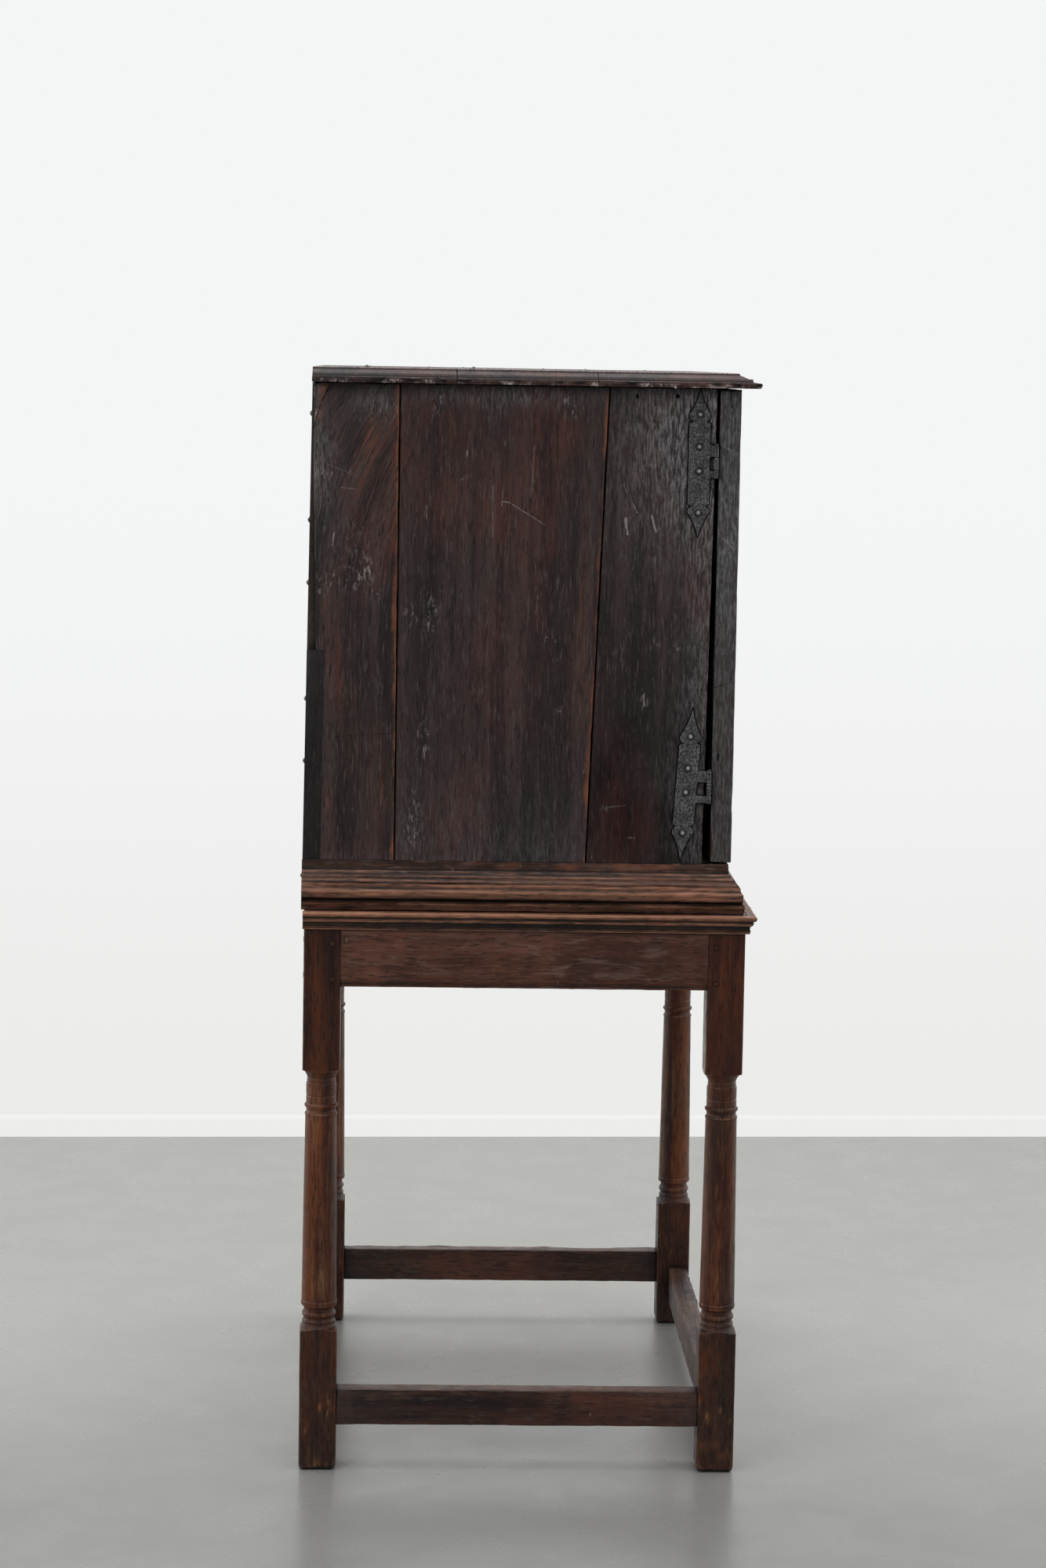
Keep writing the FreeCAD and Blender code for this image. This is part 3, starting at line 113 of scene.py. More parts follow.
def shell(xs, ys, zs):
    """Points and outward quads of a box's surface, on the lattice of these coordinates."""
    axes = (xs, ys, zs)
    points = []
    quads = []
    count = 0
    for axis in range(3):
        u, v = [other for other in range(3) if other != axis]
        for end in (0, -1):
            across, up = np.meshgrid(axes[u], axes[v], indexing="ij")
            face = np.empty(across.shape + (3,))
            face[..., axis] = axes[axis][end]
            face[..., u] = across
            face[..., v] = up
            number = np.arange(across.size).reshape(across.shape) + count
            corners = (number[:-1, :-1], number[1:, :-1], number[1:, 1:], number[:-1, 1:])
            quad = np.stack(corners, -1).reshape(-1, 4)
            outward = (end == -1) != (axis == 1)
            quads.append(quad if outward else quad[:, ::-1])
            points.append(face.reshape(-1, 3))
            count += across.size
    points = np.concatenate(points)
    quads = np.concatenate(quads)
    _, first, inverse = np.unique(np.round(points * 1e7), axis=0, return_index=True, return_inverse=True)
    return points[first], inverse.reshape(-1)[quads]


def lines(low, high, edge, spacing, extra=()):
    """Lattice coordinates from low to high: close at both ends, even between."""
    half = (high - low) / 2
    near = np.array([share * edge for share in (0, 0.3, 0.6, 1, 1.6, 2.6, 4.2) if share * edge < half * 0.9])
    start, stop = low + near, high - near
    count = max(1, round((stop[-1] - start[-1]) / spacing))
    inner = [value for value in extra if low < value < high]
    found = np.concatenate([start, np.linspace(start[-1], stop[-1], count + 1), stop, inner])
    return np.unique(np.round(found, 6))


def face_normals(points, faces):
    """Vertex normals from quads or triangles."""
    across = points[faces[:, 2]] - points[faces[:, 0]]
    up = points[faces[:, -1]] - points[faces[:, 1]]
    normal = np.cross(across, up)
    total = np.zeros_like(points)
    for column in range(faces.shape[1]):
        np.add.at(total, faces[:, column], normal)
    return total / np.maximum(np.linalg.norm(total, axis=1, keepdims=True), 1e-12)


def edges_of(faces):
    pairs = np.concatenate([faces[:, [a, (a + 1) % faces.shape[1]]] for a in range(faces.shape[1])])
    return np.unique(np.sort(pairs, axis=1), axis=0)


def around(values, edges, count):
    """The mean of each vertex's neighbours."""
    total = np.zeros((count,) + values.shape[1:])
    number = np.zeros(count)
    for a, b in ((0, 1), (1, 0)):
        np.add.at(total, edges[:, a], values[edges[:, b]])
        np.add.at(number, edges[:, a], 1)
    number = np.maximum(number, 1)
    return total / (number[:, None] if values.ndim > 1 else number)


def relief(points, faces, normals):
    """How far each vertex stands out of its neighbourhood: above 0 on an arris, below 0 in a quirk."""
    edges = edges_of(faces)
    count = len(points)
    reach = 2.2 * MM
    soft = points.copy()
    found = np.zeros(count)
    for _ in range(4):
        soft = soft * 0.4 + around(soft, edges, count) * 0.6
        found += np.sum((points - soft) * normals, axis=1) / reach
    for _ in range(2):
        found = found * 0.5 + around(found, edges, count) * 0.5
    return found


def linked(name, data, material=None):
    """An object of the scene with this data."""
    thing = bpy.data.objects.new(name, data)
    bpy.context.scene.collection.objects.link(thing)
    if material is not None:
        data.materials.append(material)
    return thing


def add_layer(mesh, key, values):
    layer = mesh.attributes.new(key, "FLOAT", "POINT")
    layer.data.foreach_set("value", np.asarray(values, dtype=np.float32))


def face_outwards(piece):
    """Turn every face of a closed piece outwards."""
    work = bmesh.new()
    work.from_mesh(piece.data)
    bmesh.ops.recalc_face_normals(work, faces=work.faces)
    work.to_mesh(piece.data)
    work.free()


def welded(name):
    """An editable copy of a CAD node's mesh, its doubled vertices joined."""
    work = bmesh.new()
    work.from_mesh(frame["nodes"][name].data)
    bmesh.ops.remove_doubles(work, verts=work.verts, dist=1e-6)
    return work


def make(name, points, faces, material, nodes=None, body=None, extra=None):
    """A mesh object with its wear written on it, in place of the CAD nodes that it stands for."""
    mesh = bpy.data.meshes.new(name)
    mesh.from_pydata(points.tolist(), [], faces.tolist() if isinstance(faces, np.ndarray) else faces)
    if isinstance(faces, np.ndarray):
        normals = face_normals(points, faces)
        values = {"wear": np.clip(relief(points, faces, normals), -1, 1)}
    else:
        values = {"wear": np.zeros(len(points))}
    values.update(extra or {})
    values.setdefault("rim", np.full(len(points), NO_RIM))
    for key, value in values.items():
        add_layer(mesh, key, value)
    mesh.validate()
    mesh.shade_smooth()
    piece = linked(name, mesh, material)
    nodes = [name.removesuffix("_worn")] if nodes is None else nodes
    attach(piece, body or BODY_OF[nodes[0]])
    if nodes:
        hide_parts(*nodes)
    return piece


def sink(points, faces, amount):
    """Move each vertex inwards along its normal."""
    normals = face_normals(points, faces)
    return points - normals * amount[:, None]


def tired(points, faces, depth, seed, size=0.05):
    """A surface planed and rubbed by hand: low swells and small hollows, never proud."""
    swell = 0.5 + 0.5 * noise(points, size, seed)
    fine = 0.5 + 0.5 * noise(points, size * 0.28, seed + 7)
    return sink(points, faces, depth * (0.65 * swell + 0.35 * fine))


def rounded(points, low, high, radius):
    """Round a box's edges, with a radius for each vertex."""
    room = np.min(high - low) * 0.45
    radius = np.minimum(radius, room)[:, None]
    inner = np.clip(points, low + radius, high - radius)
    away = points - inner
    return inner + away / np.maximum(np.linalg.norm(away, axis=1, keepdims=True), 1e-12) * radius


def block(low, high, edge=1.4, spacing=9.0, extra=((), (), ())):
    """A box's lattice in millimetres, from its corners."""
    low = np.array(low, float)
    high = np.array(high, float)
    axes = [lines(low[a], high[a], edge, spacing, extra[a]) for a in range(3)]
    points, faces = shell(*axes)
    return points, faces, low, high


def soft_edges(points, low, high, edge, seed, spread=0.8):
    """Round the edges unevenly, as wear leaves them."""
    uneven = 1 + spread * noise(points, 22.0, seed) + 0.5 * spread * noise(points, 6.0, seed + 3)
    return rounded(points, low, high, edge * np.clip(uneven, 0.3, 3.0))


def corner_box(node):
    low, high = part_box(node)
    return np.array(low) / MM, np.array(high) / MM


# Materials

class Paint:
    """A material under construction: node helpers with short names."""

    def __init__(self, name):
        self.material = bpy.data.materials.new(name)
        self.material.use_nodes = True
        self.tree = self.material.node_tree
        self.tree.nodes.clear()
        self.output = self.add("ShaderNodeOutputMaterial")
        self.place = self.add("ShaderNodeTexCoord").outputs["Object"]

    def add(self, kind, inputs=None, **settings):
        node = self.tree.nodes.new(kind)
        for key, value in settings.items():
            setattr(node, key, value)
        for key, value in (inputs or {}).items():
            if isinstance(value, bpy.types.NodeSocket):
                self.tree.links.new(value, node.inputs[key])
            else:
                node.inputs[key].default_value = value
        return node

    def scaled(self, scale, shift=(0, 0, 0)):
        """Object coordinates times a scale for each axis."""
        inputs = {"Vector": self.place, "Scale": scale, "Location": shift}
        return self.add("ShaderNodeMapping", inputs).outputs["Vector"]

    def noise(self, vector, scale, detail=3.0, roughness=0.55, distortion=0.0):
        inputs = {"Vector": vector, "Scale": scale, "Detail": detail, "Roughness": roughness,
                  "Distortion": distortion}
        return self.add("ShaderNodeTexNoise", inputs).outputs["Fac"]

    def ramp(self, value, low, high, start=0.0, stop=1.0):
        """Map a range of a value onto another, with its ends held."""
        inputs = {"Value": value, "From Min": low, "From Max": high, "To Min": start, "To Max": stop}
        return self.add("ShaderNodeMapRange", inputs, interpolation_type="SMOOTHSTEP").outputs["Result"]

    def maths(self, operation, a, b):
        return self.add("ShaderNodeMath", {0: a, 1: b}, operation=operation).outputs[0]

    def times(self, a, b):
        return self.maths("MULTIPLY", a, b)

    def plus(self, a, b):
        return self.maths("ADD", a, b)

    def less(self, a, b):
        return self.maths("SUBTRACT", a, b)

    def most(self, a, b):
        return self.maths("MAXIMUM", a, b)

    def mix(self, amount, a, b):
        """Blend two colours, each a socket or three numbers."""
        node = self.add("ShaderNodeMix", data_type="RGBA")
        for socket, value in ((node.inputs[0], amount), (node.inputs[6], a), (node.inputs[7], b)):
            if isinstance(value, bpy.types.NodeSocket):
                self.tree.links.new(value, socket)
            else:
                socket.default_value = value if socket is node.inputs[0] else (*value, 1.0)
        return node.outputs[2]

    def vector(self, operation, a, b=None, scale=None):
        inputs = {0: a}
        if b is not None:
            inputs[1] = b
        if scale is not None:
            inputs["Scale"] = scale
        return self.add("ShaderNodeVectorMath", inputs, operation=operation).outputs[0]

    def stroke(self, start, end, half_width, strength, jags):
        """A ragged line between two places (y, z) on a side, in millimetres."""
        first = Vector((0, *start)) * MM
        run = Vector((0, *end)) * MM - first
        from_start = self.vector("MULTIPLY", self.vector("SUBTRACT", self.place, tuple(first)), (0, 1, 1))
        share = self.add("ShaderNodeVectorMath", {0: from_start, 1: tuple(run / run.length_squared)},
                         operation="DOT_PRODUCT").outputs["Value"]
        held = self.add("ShaderNodeClamp", {"Value": share}).outputs[0]
        foot = self.vector("SCALE", tuple(run), scale=held)
        gap = self.add("ShaderNodeVectorMath", {0: from_start, 1: foot},
                       operation="DISTANCE").outputs["Value"]
        reach = self.ramp(jags, 0.35, 0.6, 0.4 * half_width * MM, 1.5 * half_width * MM)
        near = self.less(reach, gap)
        return self.ramp(near, -0.0002, 0.0003, 0.0, strength)

    def attribute(self, name):
        return self.add("ShaderNodeAttribute", attribute_name=name).outputs["Fac"]

    def finish(self, inputs):
        shader = self.add("ShaderNodeBsdfPrincipled", inputs)
        self.tree.links.new(shader.outputs["BSDF"], self.output.inputs["Surface"])
        return self.material


GRAIN = {
    "x": (0.045, 1.0, 1.0),
    "y": (1.0, 0.045, 1.0),
    "z": (1.0, 1.0, 0.045),
}
LIGHT = 0.62
VEIL = 0.009


def seen(red, green, blue):
    """The own colour of a surface that has this colour, from 0 to 255, in the studio's light."""
    found = []
    for value in (red, green, blue):
        share = value / 255
        linear = share / 12.92 if share <= 0.04045 else ((share + 0.055) / 1.055) ** 2.4
        found.append(max((linear - VEIL) / LIGHT, 0.002))
    return tuple(found)


def dimmed(colour, share):
    return tuple(share * channel for channel in colour)


def oak(name, axis, dark, brown, warm, glow=(118, 70, 50), pale=(92, 84, 82), warmth=0.5, dry=0.35,
        rough=0.42, shift=0.0, strokes=(), cracks=(), flake=0.0,
        char=((40, 37, 37), (56, 52, 52)), gloss=0.5):
    """Old waxed oak with its grain along an axis, its colours given as they are seen."""
    paint = Paint(name)
    dark, brown, warm, glow, pale = (seen(*colour) for colour in (dark, brown, warm, glow, pale))
    bend = paint.add("ShaderNodeCombineXYZ", {"Y": paint.attribute("bend")}).outputs[0]
    wander = paint.add("ShaderNodeTexNoise", {"Vector": paint.scaled((1, 1, 0.5), (shift, 0, 0)),
                                              "Scale": 6.0, "Detail": 2.0}).outputs["Color"]
    wander = paint.vector("SCALE", wander, scale=0.012)
    bent = paint.vector("ADD", paint.vector("ADD", paint.place, bend), wander)
    along = paint.add("ShaderNodeMapping", {"Vector": bent, "Scale": GRAIN[axis],
                                            "Location": (shift, shift * 0.7, shift * 1.3)}).outputs[0]
    figure = paint.noise(along, 34.0, 4.0, 0.6)
    streaks = paint.noise(along, 130.0, 3.0, 0.6)
    shorter = tuple(min(2.6 * share, 1.0) for share in GRAIN[axis])
    short = paint.add("ShaderNodeMapping", {"Vector": bent, "Scale": shorter,
                                            "Location": (shift * 1.1, 4, shift)}).outputs[0]
    fine = paint.noise(short, 330.0, 3.0, 0.7)
    pores = paint.noise(paint.vector("ADD", short, (7, 7, 7)), 360.0, 3.0, 0.7)
    clouds = paint.noise(paint.scaled((1.0, 1.0, 0.55), (shift * 2, 3, 0)), 7.0, 3.0, 0.55)
    olive = paint.noise(paint.scaled((1.0, 1.0, 0.55), (9, shift * 2, 5)), 9.0, 3.0, 0.55)
    spots = paint.noise(paint.scaled((1, 1, 1), (0, shift, 0)), 42.0, 4.0, 0.7)
    jags = paint.noise(paint.scaled((1, 1, 0.6), (0, 0, shift)), 170.0, 2.0, 0.6)

    body = paint.mix(paint.ramp(figure, 0.38, 0.64), dark, brown)
    reddish = paint.times(paint.ramp(clouds, 0.46, 0.68, 0.0, warmth),
                          paint.ramp(streaks, 0.35, 0.6, 0.45, 1.0))
    body = paint.mix(reddish, body, warm)
    body = paint.mix(paint.ramp(olive, 0.55, 0.75, 0.0, 0.35), body, seen(56, 47, 38))
    body = paint.mix(paint.ramp(streaks, 0.54, 0.72, 0.0, 0.45), body, dimmed(dark, 0.4))
    body = paint.mix(paint.times(paint.ramp(fine, 0.53, 0.66, 0.0, 1.9 * dry),
                                 paint.ramp(spots, 0.35, 0.6, 1.0, 0.45)), body, pale)
    if flake:
        eddies = paint.noise(paint.scaled((1.0, 0.35, 1.6), (0, shift, 2)), 26.0, 2.0, 0.5, 1.6)
        place = paint.noise(paint.scaled((1.0, 1.0, 1.0), (shift, 1, 7)), 4.5, 1.0)
        figured = paint.times(paint.ramp(eddies, 0.52, 0.66, 0.0, flake),
                              paint.ramp(place, 0.45, 0.6))
        body = paint.mix(figured, body, pale)
    body = paint.mix(paint.ramp(pores, 0.53, 0.64, 0.0, 0.75), body, dimmed(dark, 0.35))
    body = paint.mix(paint.ramp(spots, 0.60, 0.75, 0.0, 0.4), body, dimmed(dark, 0.4))

    blush = paint.times(paint.attribute("blush"), paint.ramp(streaks, 0.42, 0.62, 0.05, 1.0))
    blush = paint.times(blush, paint.ramp(pores, 0.42, 0.6, 1.0, 0.35))
    body = paint.mix(blush, body, glow)
    broad = paint.noise(paint.scaled((1, 0.2, 1)), 11.0, 3.0)
    width = paint.plus(paint.ramp(broad, 0.3, 0.7, -0.5, 7.5), paint.ramp(jags, 0.3, 0.7, -1.2, 1.2))
    band = paint.ramp(paint.less(width, paint.attribute("rim")), -2.5, 3.0, 0.0, 0.7)
    band_tone = paint.mix(paint.ramp(olive, 0.40, 0.60), dimmed(glow, 0.8), seen(140, 86, 56))
    body = paint.mix(band, body, band_tone)

    wear = paint.attribute("wear")
    rubbed = paint.ramp(paint.times(wear, paint.ramp(fine, 0.38, 0.6, 0.6, 1.35)), 0.12, 0.6)
    body = paint.mix(paint.times(rubbed, 0.6), body, glow)
    hollow = paint.ramp(paint.times(wear, -1.0), 0.05, 0.45, 0.0, 0.85)
    body = paint.mix(hollow, body, seen(24, 18, 16))
    soot = paint.attribute("soot")
    ticks = paint.noise(paint.scaled((1.0, 1.0, 0.17), (shift, 8, 0)), 330.0, 4.0, 0.75)
    sooty = paint.mix(paint.ramp(ticks, 0.40, 0.66), *(seen(*tone) for tone in char))
    body = paint.mix(paint.times(soot, paint.ramp(spots, 0.3, 0.6, 1.0, 0.7)), body, sooty)

    # Pale flecks at knocks, stray pale flecks and pale scratch strokes: nicks in the wax, and painted glints
    # where dents catch the light.
    flecks = paint.noise(paint.scaled((1, 1, 0.33), (shift, 0, 0)), 250.0, 3.0, 0.75)
    nicks_and_glints = paint.times(paint.attribute("nicks_and_glints"), paint.ramp(flecks, 0.545, 0.625, 0.0, 0.85))
    stray_nicks_and_glints = paint.noise(paint.scaled((1, 1, 0.35), (0, 0, shift)), 150.0, 1.0, 0.5)
    nicks_and_glints = paint.most(nicks_and_glints, paint.ramp(stray_nicks_and_glints, 0.79, 0.84, 0.0, 0.5))
    for start, end, half_width, strength in strokes:
        nicks_and_glints = paint.most(nicks_and_glints, paint.stroke(start, end, half_width, strength, jags))
    body = paint.mix(paint.times(nicks_and_glints, 0.8), body, seen(140, 132, 128))
    # Dark cracks and holes, and painted shade from the seam attribute: seam arrises, round the hinge plates,
    # the door's top, pegs and bands of the mouldings.
    cracks_and_shade = paint.attribute("seam")
    for start, end, half_width, strength in cracks:
        cracks_and_shade = paint.most(cracks_and_shade, paint.stroke(start, end, half_width, strength, jags))
    body = paint.mix(cracks_and_shade, body, seen(20, 17, 17))
    # Painted shade: darker where ambient occlusion finds surfaces close by, in seams, quirks and round proud
    # parts.
    occlusion_shade = paint.add("ShaderNodeAmbientOcclusion", {"Distance": 0.008}, samples=4).outputs["AO"]
    body = paint.mix(paint.ramp(occlusion_shade, 0.4, 1.0, 0.95, 0.0), body, seen(22, 17, 16))

    hammer = paint.noise(paint.place, 190.0, 2.0, 0.55)
    height = paint.times(fine, 0.45)
    for part, share in ((pores, -0.25), (spots, 0.55), (streaks, 0.4),
                        (paint.times(soot, hammer), 1.6), (nicks_and_glints, -0.35)):
        height = paint.plus(height, paint.times(part, share))
    grainy = paint.add("ShaderNodeBump", {"Height": height, "Strength": 0.75, "Distance": 0.0014})
    roughness = paint.ramp(spots, 0.3, 0.75, rough - 0.06, rough + 0.14)
    return paint.finish({"Base Color": body, "Roughness": roughness, "Normal": grainy.outputs["Normal"],
                         "Specular IOR Level": paint.ramp(cracks_and_shade, 0.1, 0.8, gloss, 0.03)})


def iron(name):
    """Blackened wrought iron, hammered, with soft highlights and a little rust."""
    paint = Paint(name)
    hammer = paint.noise(paint.place, 230.0, 2.0, 0.6)
    pits = paint.noise(paint.place, 700.0, 3.0, 0.6)
    cloud = paint.noise(paint.place, 60.0, 3.0, 0.6)
    # Mottled grey of hammered iron; its light end also paints glints on the facets.
    beaten_tone_and_glints = paint.noise(paint.scaled((1, 1, 0.7)), 470.0, 3.0, 0.75)
    body = paint.mix(paint.ramp(beaten_tone_and_glints, 0.38, 0.68), seen(50, 50, 51), seen(120, 118, 118))
    body = paint.mix(paint.ramp(cloud, 0.45, 0.62, 0.0, 0.5), body, seen(46, 45, 46))
    body = paint.mix(paint.ramp(pits, 0.62, 0.74, 0.0, 0.3), body, seen(92, 72, 62))
    # Lighter on convex edges: rubbed iron, and a painted highlight on arrises and nail heads.
    wear = paint.attribute("wear")
    body = paint.mix(paint.ramp(wear, 0.08, 0.5, 0.0, 0.8), body, seen(172, 170, 168))
    # Painted shade: darker where ambient occlusion finds surfaces close by, round the plates, nails and
    # knuckles.
    occlusion_shade = paint.add("ShaderNodeAmbientOcclusion", {"Distance": 0.007}, samples=4).outputs["AO"]
    body = paint.mix(paint.ramp(occlusion_shade, 0.35, 0.95, 0.95, 0.0), body, seen(20, 19, 19))
    # Painted shade from the seam attribute: along the plates' outline and round the nail heads.
    body = paint.mix(paint.attribute("seam"), body, seen(16, 15, 15))
    height = paint.plus(hammer, paint.times(pits, 0.3))
    dents = paint.add("ShaderNodeBump", {"Height": height, "Strength": 0.9, "Distance": 0.0020})
    return paint.finish({"Base Color": body, "Metallic": 0.35,
                         "Roughness": paint.ramp(cloud, 0.3, 0.7, 0.27, 0.45),
                         "Normal": dents.outputs["Normal"]})


# Scratches and cracks seen on the left side: ends in millimetres (y, z), half width, strength
SCRATCHES = (
    ((43, 1325), (33, 1323), 0.5, 0.9), ((33, 1323), (-15, 1294), 0.45, 0.9),
    ((1, 1401), (5, 1330), 0.4, 0.5), ((42, 1348), (44, 1319), 0.5, 0.7), ((56, 1345), (55, 1277), 0.6, 0.4),
    ((144, 1317), (144, 1300), 0.6, 0.6), ((91, 1391), (91, 1384), 0.7, 0.8),
    ((267, 1279), (269, 1263), 0.8, 0.9),
    ((-119, 1350), (-122, 1341), 0.9, 1.0), ((-131, 1325), (-137, 1313), 0.9, 1.0),
    ((-122, 1305), (-125, 1284), 1.4, 1.0), ((-157, 1309), (-163, 1287), 1.1, 1.0),
    ((-163, 1254), (-163, 1222), 0.5, 0.5), ((-151, 1068), (-152, 1054), 1.3, 0.8),
    ((-105, 915), (-129, 918), 0.7, 0.5), ((-133, 874), (-143, 874), 0.8, 0.7),
    ((277, 1371), (238, 1355), 0.5, 0.3), ((258, 1340), (240, 1338), 0.6, 0.4),
)

# Cracks and holes on the left side, and on the edge of the door
SIDE_CRACKS = (
    ((275, 1474), (286, 1453), 0.6, 0.9), ((286, 1453), (301, 1395), 0.5, 0.9),
    ((-134, 1469), (-134, 1466), 1.8, 0.95), ((-189, 1469), (-189, 1466), 1.8, 0.95),
    ((-175, 1477), (-176, 1442), 0.5, 0.8), ((178, 1012), (262, 1006), 0.4, 0.5),
)
EDGE_CRACKS = (((-260, 1477), (-261, 1454), 0.5, 0.9), ((-247, 1079), (-263, 1085), 0.5, 0.7),
               ((-253, 988), (-254, 980), 1.6, 0.7))
EDGE_SCRATCHES = (((-247, 1287), (-269, 1264), 0.5, 0.9), ((-252, 1402), (-262, 1397), 0.6, 0.5),
                  ((-250, 1334), (-258, 1322), 0.5, 0.6), ((-266, 1188), (-262, 1150), 0.6, 0.5))
# The side's char runs from grey-black to pale grey: grey round the hinges, its pale ticks also painted
# highlights on the hammered surface.
SIDE_TONES = {"dark": (40, 33, 33), "brown": (64, 52, 50), "warm": (92, 53, 48), "glow": (120, 70, 52),
              "pale": (92, 84, 82), "dry": 0.3, "char": ((44, 42, 43), (140, 136, 137))}
side_left_oak = oak("side_left_oak", "z", **SIDE_TONES, strokes=SCRATCHES, cracks=SIDE_CRACKS)
strip_oak = oak("strip_oak", "z", (28, 25, 25), (38, 33, 33), (44, 36, 35), pale=(66, 62, 61), shift=5.0)
side_right_oak = oak("side_right_oak", "z", **SIDE_TONES, shift=2.0)
# Its char is a light grey: on the door's edge it is weathered grey and painted light.
stile_oak = oak("stile_oak", "z", (44, 37, 36), (62, 52, 49), (80, 53, 46), pale=(96, 88, 85), dry=0.35,
                char=((58, 57, 58), (114, 114, 115)), shift=3.1, strokes=EDGE_SCRATCHES, cracks=EDGE_CRACKS)
door_cross_oak = oak("door_cross_oak", "x", (48, 44, 43), (68, 62, 60), (78, 60, 55), shift=4.2)
panel_oak = oak("panel_oak", "z", (42, 36, 35), (60, 49, 46), (82, 52, 45), warmth=0.6, shift=6.4)
LEG_TONES = {"dark": (42, 21, 12), "brown": (90, 49, 30), "warm": (122, 66, 38), "gloss": 0.4}
leg_oak = oak("leg_oak", "z", **LEG_TONES, glow=(150, 112, 82), pale=(96, 68, 52), dry=0.16, rough=0.38,
              shift=1.7, char=((31, 27, 24), (58, 49, 43)))
RAIL_TONES = {"dark": (68, 45, 37), "brown": (104, 70, 58), "warm": (130, 82, 66), "gloss": 0.4}
rail_y_oak = oak("rail_y_oak", "y", **RAIL_TONES, pale=(128, 106, 96), dry=0.16, shift=2.3, flake=0.32)
rail_x_oak = oak("rail_x_oak", "x", **RAIL_TONES, pale=(128, 106, 96), dry=0.16, shift=5.3, flake=0.28)
LOW_TONES = {"dark": (36, 26, 21), "brown": (72, 48, 38), "warm": (100, 60, 44)}
low_y_oak = oak("low_y_oak", "y", **LOW_TONES, glow=(112, 78, 60), dry=0.2, shift=4.4)
low_x_oak = oak("low_x_oak", "x", **LOW_TONES, glow=(112, 78, 60), dry=0.2, shift=9.1)
MOULD_TONES = {"dark": (50, 36, 30), "brown": (106, 74, 59), "warm": (140, 88, 66), "gloss": 0.45}
mould_y_oak = oak("mould_y_oak", "y", **MOULD_TONES, glow=(164, 116, 92), warmth=0.7, shift=0.9)
mould_x_oak = oak("mould_x_oak", "x", **MOULD_TONES, glow=(164, 116, 92), warmth=0.7, shift=7.7)
# The top's near-white glow colour paints the highlight on its lower arris and rubbed arrises.
top_oak = oak("top_oak", "x", (36, 29, 28), (66, 47, 43), (88, 54, 47), glow=(196, 180, 172), shift=8.8)
back_oak = oak("back_oak", "x", (46, 38, 33), (70, 56, 47), (84, 62, 50), rough=0.6, shift=9.9)
DRY_TONES = {"dark": (88, 72, 58), "brown": (118, 98, 80), "warm": (130, 102, 78), "rough": 0.62}
dry_x_oak = oak("dry_x_oak", "x", **DRY_TONES, shift=9.9)
dry_y_oak = oak("dry_y_oak", "y", **DRY_TONES, shift=11.2)
wrought = iron("wrought_iron")


# The sides: three boards each

BACK_FACE = 305.5
CABINET_FOOT = 773.5
CABINET_TOP = 1479.5
REAR_LEAN = 7.5
RIGHT_SEAM = 1.0


def lean(points):
    """The back of the real cabinet leans forward: it is shallower at the top than at the foot."""
    share = np.clip((points[:, 2] - CABINET_FOOT) / (CABINET_TOP - CABINET_FOOT), 0, 1.03)
    part = smooth_step(points[:, 1], BACK_FACE - 110, BACK_FACE - 10)
    return points - np.column_stack([0 * share, REAR_LEAN * share * part, 0 * share])


def plate_outline(side_name):
    """Where the hinge plates' edges meet the side, as segments (y, z)."""
    work = welded("hinge_plates_" + side_name)
    inner = min(abs(vertex.co.x) for vertex in work.verts)
    on_side = [edge for edge in work.edges
               if all(abs(vertex.co.x) < inner + 0.1 * MM for vertex in edge.verts)]
    found = [[vertex.co.yz for vertex in edge.verts] for edge in on_side if edge.calc_face_angle(0) > 0.5]
    work.free()
    return np.array(found) / MM


def from_outline(points, segments):
    """The distance from each place to the nearest of the segments, both in the plane of the side."""
    nearest = np.full(len(points), ANYWHERE)
    for start, end in segments:
        run = end - start
        share = np.clip((points[:, 1:] - start) @ run / max(run @ run, 1e-9), 0, 1)
        gap = np.linalg.norm(points[:, 1:] - start - share[:, None] * run, axis=1)
        nearest = np.minimum(nearest, gap)
    return nearest


